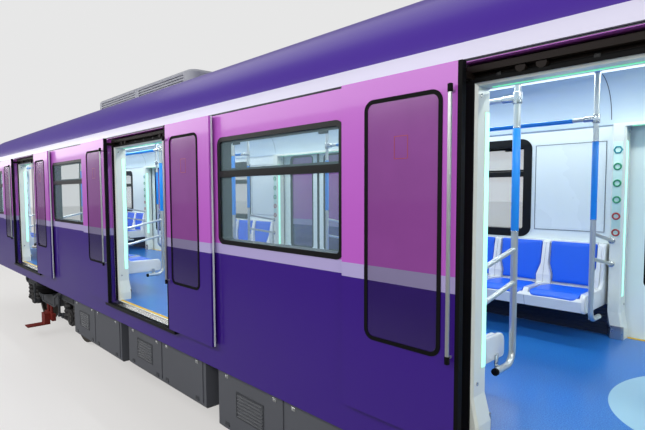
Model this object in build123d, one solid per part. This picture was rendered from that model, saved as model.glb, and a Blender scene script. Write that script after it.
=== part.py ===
from build123d import *
import math
import os

os.makedirs("parts", exist_ok=True)

# Metro car with a gangway at each end. X runs along the car, the side at -Y has its doors open
# and the side at +Y has them shut. Z = 0 is at the wheels' flange tips, and all is in millimetres.

# Body shell
BODY_LENGTH = 18500.0
BODY_WIDTH = 2686.0
WALL = 100.0
END_WALL = 80.0
SKIRT_BOTTOM = 960.0
FLOOR_TOP = 1180.0
FLOOR_THICKNESS = 50.0
ROOF_SPRING = 3040.0
HAUNCH_RADIUS = 515.0
CROWN_RADIUS = 4000.0
GUTTER_HEIGHT = 10.0
GUTTER_DEPTH = 8.0

# Doors
DOOR_COUNT = 4
END_BAY = 2830.0
DOOR_CLEAR_WIDTH = 1400.0
LEAF_WIDTH = 740.0
LEAF_THICKNESS = 35.0
LEAF_BOTTOM = 1160.0
LEAF_HEIGHT = 1870.0
LEAF_GAP = 5.0
LEAF_STAND_OFF = 25.0
LEAF_MEETING_GAP = 2.0
NOSE_WIDTH = 22.0
LEAF_GLASS_WIDTH = 473.0
LEAF_GLASS_BACK_MARGIN = 170.0
LEAF_GLASS_SILL = 438.0
LEAF_GLASS_HEIGHT = 1319.0
LEAF_GLASS_CORNER = 60.0
LEAF_SEAL_WIDTH = 22.0
LEAF_SEAL_PROUD = 4.0
LEAF_GLASS_THICKNESS = 8.0
BAR_RADIUS = 10.0
BAR_FOOT_RADIUS = 8.0
BAR_EDGE = 43.0
BAR_STAND_OFF = 30.0
BAR_FOOT_LENGTH = 24.0
SILL_THICKNESS = 30.0
SILL_OVERHANG = 110.0
SILL_DROP = 5.0
SILL_REACH = 55.0
THRESHOLD_THICKNESS = 30.0

# Door portals, each depth measured inwards from the body's side
PORTAL_OUTER_DEPTH = 53.0
PORTAL_INNER_DEPTH = 190.0
PORTAL_REVEAL_HALF = 685.0
PORTAL_NOSE = 12.0
PORTAL_FACE_WIDTH = 90.0
PORTAL_OUTER_HALF = 800.0
PORTAL_HEADER = 27.0
PORTAL_FOOT_HEIGHT = 220.0
PORTAL_FOOT_BASE = 80.0
PORTAL_FOOT_FLARE = 28.0
PORTAL_SEAL_THICKNESS = 8.0

# Door gear above each doorway
GEAR_PLATE = 12.0
GEAR_RAIL_WIDTH = 38.0
GEAR_RAIL_HEIGHT = 30.0
GEAR_RAIL_DEPTH = 43.0
GEAR_ROLLER_RADIUS = 22.0
GEAR_ARM_WIDTH = 24.0
GEAR_ARM_HEIGHT = 30.0
GEAR_BRACKET_PITCH = 445.0
GEAR_ROLLER_INSET = 300.0

# Windows
WINDOW_BOTTOM = 2011.0
WINDOW_HEIGHT = 841.0
WINDOW_WIDTH = 1325.0
END_WINDOW_WIDTH = 800.0
END_WINDOW_INSET = 870.0
WINDOW_CORNER = 60.0
FRAME_WIDTH = 34.0
FRAME_PROUD = 6.0
FRAME_DEPTH = 45.0
TRIM_WIDTH = 40.0
TRIM_PROUD = 8.0
DIVIDER_BOTTOM = 2540.0
DIVIDER_HEIGHT = 50.0
GLASS_THICKNESS = 10.0
GLASS_DEPTH = 8.0

# Saloon
LINER_FOOT = 2950.0
LINER_FOOT_HEIGHT = 40.0
LINER_THICKNESS = 15.0
COVE_RADIUS = 355.0
LIGHT_WIDTH = 110.0
LIGHT_DROP = 12.0
BENCH_GAP = 30.0
SEATS_PER_BENCH = 6
SEAT_FRONT = 700.0
SEAT_HEIGHT = 375.0
SEAT_SHELL = 45.0
SEAT_NOSE = 22.0
SEAT_FOOT = 32.0
BACK_LEAN = 63.0
BACK_TOP = 1960.0
FASCIA_HEIGHT = 110.0
RIB_WIDTH = 56.0
RIB_PROUD = 34.0
RIB_HIP_WIDTH = 116.0
RIB_HIP_START = 200.0
RIB_HIP_FULL = 100.0
RIB_PAN_WIDTH = 40.0
RIB_PAN_TAPER = 140.0
PAD_THICKNESS = 30.0
PAD_MARGIN = 18.0
PAD_GAP = 2.0
PAD_CORNER = 45.0
END_PANEL = 28.0
END_PANEL_FRONT = 20.0
END_PANEL_TOP_DEPTH = 90.0
END_PANEL_KNEE_DEPTH = 130.0
END_PANEL_KNEE_HEIGHT = 230.0
END_PANEL_ARM_DEPTH = 220.0
END_PANEL_ARM_HEIGHT = 95.0
END_PANEL_NOSE = 55.0
END_BENCH_SEATS = 3
HANDRAIL_RADIUS = 19.0
STANCHION_Y = 678.0
STANCHION_OFFSET = 760.0
STANCHION_FOOT = 1410.0
STANCHION_RETURN = 150.0
STANCHION_BEND = 80.0
OVERHEAD_RAIL_Z = 2945.0
OVERHEAD_RAIL_RADIUS = 16.0
SIDE_BAR_RADIUS = 14.0
SIDE_BAR_HEIGHTS = (1890.0, 2083.0)
SIDE_BAR_DROP = 90.0

# Gangways
GANGWAY_HALF_WIDTH = 600.0
GANGWAY_TOP = 3130.0
GANGWAY_RING_WIDTH = 120.0
GANGWAY_RING_THICKNESS = 30.0
BELLOWS_PLEATS = 6
BELLOWS_PLEAT = 40.0
BELLOWS_FLOOR_DROP = 30.0
BELLOWS_WALL = 40.0
BELLOWS_PLEAT_DEPTH = 35.0
TREAD_THICKNESS = 15.0

# Underframe
SOLE_BAR_WIDTH = 100.0
CROSS_MEMBER_WIDTH = 100.0
BAYS_BETWEEN_BOGIES = 14
CROSS_MEMBER_HEIGHT = 120.0
BOLSTER_LENGTH = 640.0
HEADSTOCK_LENGTH = 160.0
DRAFT_BEAM_WIDTH = 240.0
LID_MARGIN = 45.0
LID_GAP = 24.0
LID_PROUD = 8.0

# Roof units
ROOF_UNIT_LENGTH = 2600.0
ROOF_UNIT_WIDTH = 1640.0
ROOF_UNIT_TOP = 3725.0
ROOF_UNIT_CORNER = 120.0
ROOF_FAN_RADIUS = 290.0
ROOF_FAN_DEPTH = 30.0
ROOF_FAN_SPACING = 1050.0
ROOF_FAN_HUB = 85.0
ROOF_GUARD_BAR = 12.0
ROOF_GUARD_BARS = 4
ROOF_GRILLE_ROWS = 4
ROOF_GRILLE_SLOT = 16.0
ROOF_GRILLE_PITCH = 30.0
ROOF_GRILLE_DEPTH = 14.0
ROOF_GRILLE_INSET = 160.0

# Running gear
TREAD_RADIUS = 430.0
FLANGE_HEIGHT = 28.0
WHEEL_BACK = 720.0
WHEEL_WIDTH = 130.0
# the flange and tread: distance from the wheel's back, and rise above the tread circle
TREAD_PROFILE = ((0.0, 13.0), (10.0, 28.0), (22.0, 25.0), (34.0, 2.0), (130.0, -4.0))
AXLE_RADIUS = 82.0
JOURNAL_RADIUS = 65.0
AXLE_HALF = 1060.0
HUB_RADIUS = 130.0
HUB_STEP = 30.0
HUB_PROUD = 15.0
WEB_FLARE = 20.0
RIM_FLARE = 15.0
SEAT_STEP = 40.0
RIM_DEPTH = 68.0
WHEEL_WEB = 28.0
BOGIE_OVERHANG = 2950.0
WHEELBASE = 2100.0
FRAME_Y = 1018.0
FRAME_BEAM_WIDTH = 170.0
FRAME_HALF_LENGTH = 1390.0
FRAME_CENTRE_TOP = 690.0
FRAME_END_TOP = 830.0
FRAME_BEAM_HEIGHT = 190.0
FRAME_FLAT_HALF = 330.0
FRAME_NECK_HALF = 690.0
FRAME_TIP = 30.0
FRAME_NECK_RUN = 40.0
FRAME_END_HEIGHT = 123.5
FRAME_PANEL_INSET = 26.0
FRAME_PANEL_DEPTH = 10.0
TRANSOM_HALF_LENGTH = 300.0
TRANSOM_HEIGHT = 170.0
PIVOT_RADIUS = 110.0
PIVOT_CLEARANCE = 6.0
PIVOT_REACH = 320.0
SEAT_GAP = 0.3
AIR_SPRING_RADIUS = 265.0
AIR_SPRING_PLATE = 20.0
AIR_SPRING_PEDESTAL = 185.0
AIR_SPRING_THROAT = 225.0
AIR_SPRING_LID = 240.0
BOX_WIDTH = 115.0
BOX_LENGTH = 230.0
BOX_HEIGHT = 240.0
BOX_WING_LENGTH = 640.0
BOX_WING_HEIGHT = 34.0
BOX_WING_Z = 385.0
JOURNAL_CLEARANCE = 0.8
SPRING_RADIUS = 76.0
SPRING_X = 225.0
SPRING_RINGS = 4
SPRING_WAIST = 61.0
BOX_END_GAP = 15.0
BOX_CORNER = 46.0
BOX_BORE_DEPTH = 13.0
BOX_COVER_RADIUS = 88.0
BOX_COVER_THICKNESS = 12.0
MOTOR_RADIUS = 205.0
MOTOR_X = 640.0
MOTOR_START = -560.0
MOTOR_END = 200.0
GEARBOX_RADIUS = 225.0
GEARBOX_WIDTH = 150.0
GEARBOX_CLEARANCE = 8.0
PINION_CASE_RADIUS = 164.0
GEARBOX_HALF_HEIGHT = 154.0
MOTOR_BANDS = (-440.0, -180.0, 80.0)
MOTOR_BAND_WIDTH = 26.0
MOTOR_BAND_PROUD = 9.0
MOTOR_BRACKET = (-392.0, -280.0)
MOTOR_BRACKET_RISE = 102.0
MOTOR_BRACKET_DROP = 20.0
BRAKE_GAP = 8.0
BRAKE_SHOE = 50.0
BRAKE_WIDTH = 84.0
BRAKE_BODY_HEIGHT = 190.0
BRAKE_SHIFT = 16.0
BRAKE_DROP = 30.0
BRAKE_SHOE_DROP = 20.0
COLLECTOR_TIP = 1460.0
COLLECTOR_Z = 188.0
COLLECTOR_LENGTH = 180.0
COLLECTOR_BEAM_HALF = 420.0
COLLECTOR_BEAM_Z = 300.0
COLLECTOR_BEAM_WIDTH = 60.0
COLLECTOR_ARM = 90.0
COLLECTOR_SHOE = 20.0
COLLECTOR_INSULATOR = 46.0

# Couplers
COUPLING_REACH = 320.0
COUPLER_Z = 856.0
COUPLER_PIVOT_INSET = 600.0
COUPLER_PIN_RADIUS = 30.0
COUPLER_PIN_CLEARANCE = 1.0
COUPLER_BAR_RADIUS = 50.0
COUPLER_EYE_HALF_HEIGHT = 55.0
COUPLER_EYE_RADIUS = 85.0
COUPLER_HEAD_LENGTH = 235.0
COUPLER_HEAD_WIDTH = 300.0
COUPLER_HEAD_HEIGHT = 290.0
COUPLER_HEAD_CORNER = 36.0
COUPLER_CUP_RADIUS = 50.0
COUPLER_CUP_DEPTH = 75.0
COUPLER_CUP_Y = 75.0
CONTACT_BOX_WIDTH = 220.0
CONTACT_BOX_HEIGHT = 70.0
CONTACT_BOX_LENGTH = 130.0
COUPLER_BRACKET_WIDTH = 240.0
COUPLER_SADDLE_INSET = 130.0
COUPLER_SADDLE_HALF = 260.0
COUPLER_SADDLE_GAP = 6.0

# Worked out from the sizes above
HALF_LENGTH = BODY_LENGTH / 2
HALF_WIDTH = BODY_WIDTH / 2
INNER_Y = HALF_WIDTH - WALL
FLOOR_UNDERSIDE = FLOOR_TOP - FLOOR_THICKNESS
WALL_TOP = LEAF_BOTTOM + LEAF_HEIGHT
OPENING_HALF = LEAF_WIDTH + LEAF_GAP
AXLE_Z = FLANGE_HEIGHT + TREAD_RADIUS
DOOR_PITCH = (BODY_LENGTH - 2 * END_BAY) / (DOOR_COUNT - 1)
DOOR_CENTRES = [(i - (DOOR_COUNT - 1) / 2) * DOOR_PITCH for i in range(DOOR_COUNT)]
END_WINDOW_CENTRE = HALF_LENGTH - END_WINDOW_INSET
ROOF_UNIT_CENTRE = DOOR_PITCH * 3 / 4
COVE_TOP = LINER_FOOT + LINER_FOOT_HEIGHT + COVE_RADIUS
CEILING_Z = COVE_TOP - LINER_THICKNESS
BOGIE_CENTRE = HALF_LENGTH - BOGIE_OVERHANG
BAY = 2 * BOGIE_CENTRE / BAYS_BETWEEN_BOGIES
COUPLING_PLANE = HALF_LENGTH + COUPLING_REACH
COUPLER_PIVOT = HALF_LENGTH - COUPLER_PIVOT_INSET
COUPLER_SADDLE_X = HALF_LENGTH - COUPLER_SADDLE_INSET
SIDES = (-1, 1)
ENDS = (-1, 1)


def block(x0, x1, y0, y1, z0, z1):
    """A box between two opposite corners."""
    centre = Pos((x0 + x1) / 2, (y0 + y1) / 2, (z0 + z1) / 2)
    return centre * Box(abs(x1 - x0), abs(y1 - y0), abs(z1 - z0))


def side_block(side, x0, x1, depth0, depth1, z0, z1):
    """A box on one side of the car, between two depths inside the body's outer face."""
    return block(x0, x1, side * (HALF_WIDTH - depth0), side * (HALF_WIDTH - depth1), z0, z1)


def rounded_plate(x0, x1, z0, z1, y0, y1, radius):
    """An upright plate with rounded corners between two values of Y."""
    plane = Plane(
        origin=((x0 + x1) / 2, max(y0, y1), (z0 + z1) / 2), x_dir=(1, 0, 0), z_dir=(0, -1, 0)
    )
    return extrude(plane * RectangleRounded(abs(x1 - x0), z1 - z0, radius), amount=abs(y1 - y0))


def rounded_ring(x0, x1, z0, z1, y0, y1, radius, width):
    """An upright ring whose bore follows its rounded outline at one width."""
    hole = (x0 + width, x1 - width, z0 + width, z1 - width)
    if radius > width:
        return rounded_plate(x0, x1, z0, z1, y0, y1, radius) - rounded_plate(
            *hole, y0, y1, radius - width
        )
    return rounded_plate(x0, x1, z0, z1, y0, y1, radius) - block(hole[0], hole[1], y0, y1, *hole[2:])


def prism_x(points, x0, x1):
    """An outline of (y, z) points drawn out along X."""
    wire = Polyline(*[(x0, y, z) for y, z in points], close=True)
    return extrude(make_face(wire), amount=x1 - x0, dir=(1, 0, 0))


def prism_y(points, y0, y1):
    """An outline of (x, z) points drawn out along Y."""
    wire = Polyline(*[(x, y0, z) for x, z in points], close=True)
    return extrude(make_face(wire), amount=y1 - y0, dir=(0, 1, 0))


def prism_z(points, z0, z1):
    """An outline of (x, y) points drawn out along Z."""
    wire = Polyline(*[(x, y, z0) for x, y in points], close=True)
    return extrude(make_face(wire), amount=z1 - z0, dir=(0, 0, 1))


def cylinder_y(x, z, radius, y0, y1):
    """A round bar along Y."""
    return Pos(x, (y0 + y1) / 2, z) * Rot(90, 0, 0) * Cylinder(radius, abs(y1 - y0))


def cylinder_x(y, z, radius, x0, x1):
    """A round bar along X."""
    return Pos((x0 + x1) / 2, y, z) * Rot(0, 90, 0) * Cylinder(radius, abs(x1 - x0))


def cylinder_z(x, y, radius, z0, z1):
    """A round bar along Z."""
    return Pos(x, y, (z0 + z1) / 2) * Cylinder(radius, abs(z1 - z0))


def save(name, pieces):
    """Write the solids of one sub-part to its own file."""
    solids = []
    for piece in pieces:
        solids.extend(piece.solids())
    shape = solids[0] if len(solids) == 1 else Compound(solids)
    export_step(shape, f"parts/{name}.step")


# Roof and ends


def body_top(inset, foot):
    """The closed section of the body's top at one depth inside its skin, from a foot upwards."""
    haunch_y = HALF_WIDTH - HAUNCH_RADIUS
    lean = math.asin(haunch_y / (CROWN_RADIUS - HAUNCH_RADIUS))
    crown_z = ROOF_SPRING - (CROWN_RADIUS - HAUNCH_RADIUS) * math.cos(lean)
    radius = HAUNCH_RADIUS - inset

    def on_haunch(side, angle):
        return (0, side * (haunch_y + radius * math.sin(angle)), ROOF_SPRING + radius * math.cos(angle))

    crown = (0, 0, crown_z + CROWN_RADIUS - inset)
    half_turn = (lean + math.pi / 2) / 2
    edges = []
    for side in SIDES:
        spring = on_haunch(side, math.pi / 2)
        edges.append(Line((0, spring[1], foot), spring))
        edges.append(ThreePointArc(spring, on_haunch(side, half_turn), on_haunch(side, lean)))
    edges.append(ThreePointArc(on_haunch(-1, lean), crown, on_haunch(1, lean)))
    edges.append(Line((0, -(HALF_WIDTH - inset), foot), (0, HALF_WIDTH - inset, foot)))
    return make_face(Wire(edges))


def body_top_solid(inset, foot, x0, x1):
    """The body's top section drawn out along X."""
    return Pos(x0, 0, 0) * extrude(body_top(inset, foot), amount=x1 - x0, dir=(1, 0, 0))


def roof_shell():
    """The arched roof with its cantrails, and a dark gutter line above the walls."""
    shell = body_top_solid(0, WALL_TOP, -HALF_LENGTH, HALF_LENGTH)
    shell -= body_top_solid(WALL, WALL_TOP, -HALF_LENGTH, HALF_LENGTH)
    for side in SIDES:
        shell -= side_block(
            side, -HALF_LENGTH, HALF_LENGTH, 0, GUTTER_DEPTH, WALL_TOP, WALL_TOP + GUTTER_HEIGHT
        )
    return shell


def end_wall(end):
    """One end wall inside the shell, with the gangway's opening cut."""
    x0, x1 = sorted((end * (HALF_LENGTH - END_WALL), end * HALF_LENGTH))
    wall = body_top_solid(WALL, SKIRT_BOTTOM, x0, x1)
    return wall - block(x0, x1, -GANGWAY_HALF_WIDTH, GANGWAY_HALF_WIDTH, FLOOR_TOP, GANGWAY_TOP)


def roof_unit(centre):
    """A low cooling unit that follows the roof: two guarded fan wells and a grille along each side."""
    half = ROOF_UNIT_LENGTH / 2
    unit = Pos(centre, 0, ROOF_UNIT_TOP) * extrude(
        RectangleRounded(ROOF_UNIT_LENGTH, ROOF_UNIT_WIDTH, ROOF_UNIT_CORNER), amount=-WALL * 2
    )
    unit = chamfer(unit.faces().sort_by(Axis.Z)[-1].edges(), WALL / 4)
    unit -= body_top_solid(0, WALL_TOP, centre - half, centre + half)
    low = ROOF_UNIT_TOP - ROOF_FAN_DEPTH
    bar_z = ROOF_UNIT_TOP - ROOF_GUARD_BAR / 2
    for shift in (-1, 1):
        x = centre + shift * ROOF_FAN_SPACING / 2
        unit -= cylinder_z(x, 0, ROOF_FAN_RADIUS, low, ROOF_UNIT_TOP)
        unit += cylinder_z(x, 0, ROOF_FAN_HUB, low, ROOF_UNIT_TOP - ROOF_GUARD_BAR)
        for i in range(ROOF_GUARD_BARS):
            turn = Rot(0, 0, i * 180 / ROOF_GUARD_BARS)
            unit += Pos(x, 0, bar_z) * turn * Box(ROOF_FAN_RADIUS * 2, ROOF_GUARD_BAR, ROOF_GUARD_BAR)
    slot_half = half - ROOF_GRILLE_INSET
    for side in SIDES:
        y0, y1 = sorted((side * ROOF_UNIT_WIDTH / 2, side * (ROOF_UNIT_WIDTH / 2 - ROOF_GRILLE_DEPTH)))
        for row in range(ROOF_GRILLE_ROWS):
            z = ROOF_UNIT_TOP - ROOF_GRILLE_PITCH * (row + 1.5)
            for x0, x1 in ((-slot_half, -WALL / 2), (WALL / 2, slot_half)):
                unit -= block(centre + x0, centre + x1, y0, y1, z - ROOF_GRILLE_SLOT, z)
    return unit


# Walls and windows

# centre along X, width
WINDOWS = [((i - 1) * DOOR_PITCH, WINDOW_WIDTH) for i in range(DOOR_COUNT - 1)]
WINDOWS += [(end * END_WINDOW_CENTRE, END_WINDOW_WIDTH) for end in ENDS]


def side_wall(side):
    """One side of the body in its full thickness, with doorways and windows cut."""
    wall = side_block(side, -HALF_LENGTH, HALF_LENGTH, 0, WALL, SKIRT_BOTTOM, WALL_TOP)
    for x in DOOR_CENTRES:
        wall -= side_block(
            side, x - OPENING_HALF, x + OPENING_HALF, 0, WALL, FLOOR_TOP - THRESHOLD_THICKNESS, WALL_TOP
        )
    for x, width in WINDOWS:
        wall -= rounded_plate(
            x - width / 2, x + width / 2, WINDOW_BOTTOM, WINDOW_BOTTOM + WINDOW_HEIGHT,
            side * INNER_Y, side * HALF_WIDTH, WINDOW_CORNER
        )
    return wall


def window_frame(side, x, width):
    """A black frame through one window opening, its trim inside, and the bar under its hopper light."""
    y0 = side * (HALF_WIDTH + FRAME_PROUD)
    y1 = side * (INNER_Y - TRIM_PROUD)
    half = width / 2
    top = WINDOW_BOTTOM + WINDOW_HEIGHT
    frame = rounded_ring(x - half, x + half, WINDOW_BOTTOM, top, y0, y1, WINDOW_CORNER, FRAME_WIDTH)
    frame += rounded_ring(
        x - half - TRIM_WIDTH, x + half + TRIM_WIDTH, WINDOW_BOTTOM - TRIM_WIDTH, top + TRIM_WIDTH,
        side * INNER_Y, y1, WINDOW_CORNER + TRIM_WIDTH, FRAME_WIDTH + TRIM_WIDTH
    )
    light = half - FRAME_WIDTH
    bar_y = side * (HALF_WIDTH - FRAME_DEPTH)
    return frame + block(x - light, x + light, y0, bar_y, DIVIDER_BOTTOM, DIVIDER_BOTTOM + DIVIDER_HEIGHT)


def window_panes(side, x, width):
    """The lower pane and the hopper pane of one window."""
    half = width / 2 - FRAME_WIDTH
    top = WINDOW_BOTTOM + WINDOW_HEIGHT - FRAME_WIDTH
    heights = ((WINDOW_BOTTOM + FRAME_WIDTH, DIVIDER_BOTTOM), (DIVIDER_BOTTOM + DIVIDER_HEIGHT, top))
    hole = rounded_plate(
        x - half, x + half, WINDOW_BOTTOM + FRAME_WIDTH, top,
        side * INNER_Y, side * HALF_WIDTH, WINDOW_CORNER - FRAME_WIDTH
    )
    panes = []
    for z0, z1 in heights:
        pane = side_block(side, x - half, x + half, GLASS_DEPTH, GLASS_DEPTH + GLASS_THICKNESS, z0, z1)
        panes.append(pane & hole)
    return panes


# Doors

# side, depth of the outer face inside the body's side, distance of the closing edge from the centre
LEAF_SETS = {
    "open": (-1, -LEAF_STAND_OFF - LEAF_THICKNESS, DOOR_CLEAR_WIDTH / 2),
    "closed": (1, 0.0, LEAF_MEETING_GAP / 2),
}
LEAF_HANDS = (-1, 1)


def leaf_window(door, hand, edge, margin=0.0):
    """The four bounds of a leaf's window, grown by a margin."""
    back = edge + LEAF_WIDTH - LEAF_GLASS_BACK_MARGIN
    xs = sorted((door + hand * (back + margin), door + hand * (back - LEAF_GLASS_WIDTH - margin)))
    z0 = LEAF_BOTTOM + LEAF_GLASS_SILL
    return xs[0], xs[1], z0 - margin, z0 + LEAF_GLASS_HEIGHT + margin


def door_leaf(kind, door, hand):
    """One plug door leaf with its window cut and room for the rubber on its closing edge."""
    side, depth, edge = LEAF_SETS[kind]
    x0, x1 = sorted((door + hand * (edge + NOSE_WIDTH), door + hand * (edge + LEAF_WIDTH)))
    leaf = side_block(side, x0, x1, depth, depth + LEAF_THICKNESS, LEAF_BOTTOM, WALL_TOP)
    wx0, wx1, z0, z1 = leaf_window(door, hand, edge)
    y0 = side * (HALF_WIDTH - depth)
    y1 = side * (HALF_WIDTH - depth - LEAF_THICKNESS)
    return leaf - rounded_plate(wx0, wx1, z0, z1, y0, y1, LEAF_GLASS_CORNER)


def door_rubber(kind, door, hand):
    """The closing edge's nose and the window's seal of one leaf."""
    side, depth, edge = LEAF_SETS[kind]
    x0, x1 = sorted((door + hand * edge, door + hand * (edge + NOSE_WIDTH)))
    nose = side_block(side, x0, x1, depth, depth + LEAF_THICKNESS, LEAF_BOTTOM, WALL_TOP)
    wx0, wx1, z0, z1 = leaf_window(door, hand, edge)
    y0 = side * (HALF_WIDTH - depth + LEAF_SEAL_PROUD)
    y1 = side * (HALF_WIDTH - depth - LEAF_THICKNESS)
    return [nose, rounded_ring(wx0, wx1, z0, z1, y0, y1, LEAF_GLASS_CORNER, LEAF_SEAL_WIDTH)]


def door_pane(kind, door, hand):
    """The pane of one leaf, inside its seal."""
    side, depth, edge = LEAF_SETS[kind]
    wx0, wx1, z0, z1 = leaf_window(door, hand, edge, -LEAF_SEAL_WIDTH)
    y0 = side * (HALF_WIDTH - depth)
    y1 = side * (HALF_WIDTH - depth - LEAF_GLASS_THICKNESS)
    return rounded_plate(wx0, wx1, z0, z1, y0, y1, LEAF_GLASS_CORNER - LEAF_SEAL_WIDTH)


def door_bar(kind, door, hand):
    """The upright pull bar of one leaf, on two feet."""
    side, depth, edge = LEAF_SETS[kind]
    x = door + hand * (edge + BAR_EDGE)
    z0 = LEAF_BOTTOM + LEAF_GLASS_SILL
    z1 = z0 + LEAF_GLASS_HEIGHT
    face_y = side * (HALF_WIDTH - depth)
    bar_y = face_y + side * BAR_STAND_OFF
    bar = cylinder_z(x, bar_y, BAR_RADIUS, z0, z1)
    for z in (z0 + BAR_FOOT_LENGTH, z1 - BAR_FOOT_LENGTH):
        bar += cylinder_y(x, z, BAR_FOOT_RADIUS, face_y, bar_y)
    return bar


def jamb_section(side, door, hand, z, flare=0.0):
    """The closed section of one jamb at one height, its foot flared towards the opening and the saloon."""
    reveal = PORTAL_REVEAL_HALF - flare
    inner = PORTAL_INNER_DEPTH + flare / 2
    jamb = [
        (OPENING_HALF, PORTAL_OUTER_DEPTH),
        (reveal + PORTAL_NOSE, PORTAL_OUTER_DEPTH),
        (reveal, PORTAL_OUTER_DEPTH + PORTAL_NOSE),
        (reveal, inner - PORTAL_NOSE),
        (reveal + PORTAL_NOSE, inner),
        (reveal + PORTAL_FACE_WIDTH, inner),
        (PORTAL_OUTER_HALF, WALL),
        (OPENING_HALF, WALL),
    ]
    points = [(door + hand * u, side * (HALF_WIDTH - depth), z) for u, depth in jamb]
    return make_face(Polyline(*points, close=True))


def door_portal(side, door):
    """The moulded liner round one doorway: two jambs with flared feet, and a header."""
    base = FLOOR_TOP + PORTAL_FOOT_BASE
    shoulder = FLOOR_TOP + PORTAL_FOOT_HEIGHT
    portal = None
    for hand in LEAF_HANDS:
        foot = extrude(
            jamb_section(side, door, hand, FLOOR_TOP, PORTAL_FOOT_FLARE), amount=base - FLOOR_TOP, dir=(0, 0, 1)
        )
        taper = loft(
            [jamb_section(side, door, hand, base, PORTAL_FOOT_FLARE), jamb_section(side, door, hand, shoulder)],
            ruled=True,
        )
        post = extrude(jamb_section(side, door, hand, shoulder), amount=LINER_FOOT - shoulder, dir=(0, 0, 1))
        piece = foot + taper + post
        portal = piece if portal is None else portal + piece
    low = LINER_FOOT - PORTAL_HEADER
    header = [
        (PORTAL_OUTER_DEPTH, LINER_FOOT),
        (PORTAL_OUTER_DEPTH, low + PORTAL_NOSE),
        (PORTAL_OUTER_DEPTH + PORTAL_NOSE, low),
        (PORTAL_INNER_DEPTH, low),
        (PORTAL_INNER_DEPTH, LINER_FOOT),
    ]
    outline = [(side * (HALF_WIDTH - depth), z) for depth, z in header]
    return portal + prism_x(outline, door - OPENING_HALF, door + OPENING_HALF)


def portal_seal(side, door):
    """The rubber that the leaves close against, along both jambs and the header."""
    depths = (PORTAL_OUTER_DEPTH - PORTAL_SEAL_THICKNESS, PORTAL_OUTER_DEPTH)
    inner = PORTAL_REVEAL_HALF + PORTAL_NOSE
    seal = side_block(side, door - OPENING_HALF, door + OPENING_HALF, *depths, FLOOR_TOP, LINER_FOOT)
    top = LINER_FOOT - PORTAL_HEADER + PORTAL_NOSE
    return seal - side_block(side, door - inner, door + inner, *depths, FLOOR_TOP, top)


def door_gear(kind, door):
    """The back plate, rail, rollers and hanger arms above one doorway."""
    side, leaf_depth, edge = LEAF_SETS[kind]
    x0, x1 = door - OPENING_HALF, door + OPENING_HALF
    gear = side_block(side, x0, x1, WALL - GEAR_PLATE, WALL, LINER_FOOT, WALL_TOP)
    rail_top = WALL_TOP - LEAF_GAP * 3
    rail_inner = GEAR_RAIL_DEPTH + GEAR_RAIL_WIDTH
    rail_z = rail_top - GEAR_RAIL_HEIGHT
    gear += side_block(side, x0, x1, GEAR_RAIL_DEPTH, rail_inner, rail_z, rail_top)
    for place in (-1.5, -0.5, 0.5, 1.5):
        x = door + place * GEAR_BRACKET_PITCH
        gear += side_block(
            side, x - GEAR_ARM_WIDTH, x + GEAR_ARM_WIDTH, rail_inner, WALL - GEAR_PLATE, rail_z, rail_top
        )
    roller_z = rail_z - GEAR_ROLLER_RADIUS / 2
    arm_z = rail_z - GEAR_ARM_HEIGHT
    leaf_inner = leaf_depth + LEAF_THICKNESS
    for hand in LEAF_HANDS:
        near_edge = edge + GEAR_ARM_WIDTH if kind == "open" else LEAF_WIDTH / 2
        x = door + hand * near_edge
        half = GEAR_ARM_WIDTH / 2
        gear += side_block(side, x - half, x + half, leaf_inner, rail_inner, arm_z, rail_z)
        for shift in (-1, 1):
            roller_x = door + hand * (OPENING_HALF - GEAR_ROLLER_INSET + shift * GEAR_ROLLER_RADIUS * 2)
            gear += cylinder_y(
                roller_x, roller_z, GEAR_ROLLER_RADIUS,
                side * (HALF_WIDTH - GEAR_RAIL_DEPTH - GEAR_RAIL_WIDTH / 4), side * (HALF_WIDTH - rail_inner)
            )
    return gear


def threshold(side, door):
    """The doorway's floor plate, stepped down where a shut leaf stands over it."""
    low = FLOOR_TOP - THRESHOLD_THICKNESS
    step = LEAF_THICKNESS + LEAF_GAP
    outline = [
        (0, low), (0, LEAF_BOTTOM - SILL_DROP), (step, LEAF_BOTTOM - SILL_DROP),
        (step, FLOOR_TOP), (WALL, FLOOR_TOP), (WALL, low),
    ]
    points = [(side * (HALF_WIDTH - depth), z) for depth, z in outline]
    return prism_x(points, door - OPENING_HALF, door + OPENING_HALF)


def sill(side, door):
    """The projecting sill under one doorway, on the body's outer face."""
    half = DOOR_CLEAR_WIDTH / 2 + SILL_OVERHANG
    top = LEAF_BOTTOM - SILL_DROP
    return side_block(side, door - half, door + half, -SILL_REACH, 0, top - SILL_THICKNESS, top)


# Saloon


def ceiling_liner():
    """The saloon's ceiling: a flat middle panel and a quarter-round cove on each side."""
    length = HALF_LENGTH - END_WALL
    flat_y = INNER_Y - COVE_RADIUS
    spring_z = LINER_FOOT + LINER_FOOT_HEIGHT
    pieces = [block(-length, length, -flat_y + LIGHT_WIDTH, flat_y - LIGHT_WIDTH, CEILING_Z, COVE_TOP)]
    for side in SIDES:
        edges = []
        ends = []
        for radius in (COVE_RADIUS, COVE_RADIUS - LINER_THICKNESS):
            slant = radius / math.sqrt(2)
            foot = (-length, side * (flat_y + radius), LINER_FOOT)
            spring = (-length, side * (flat_y + radius), spring_z)
            middle = (-length, side * (flat_y + slant), spring_z + slant)
            top = (-length, side * flat_y, spring_z + radius)
            edges += [Line(foot, spring), ThreePointArc(spring, middle, top)]
            ends.append((foot, top))
        edges += [Line(ends[0][0], ends[1][0]), Line(ends[0][1], ends[1][1])]
        pieces.append(extrude(make_face(Wire(edges)), amount=2 * length, dir=(1, 0, 0)))
    return pieces


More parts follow.
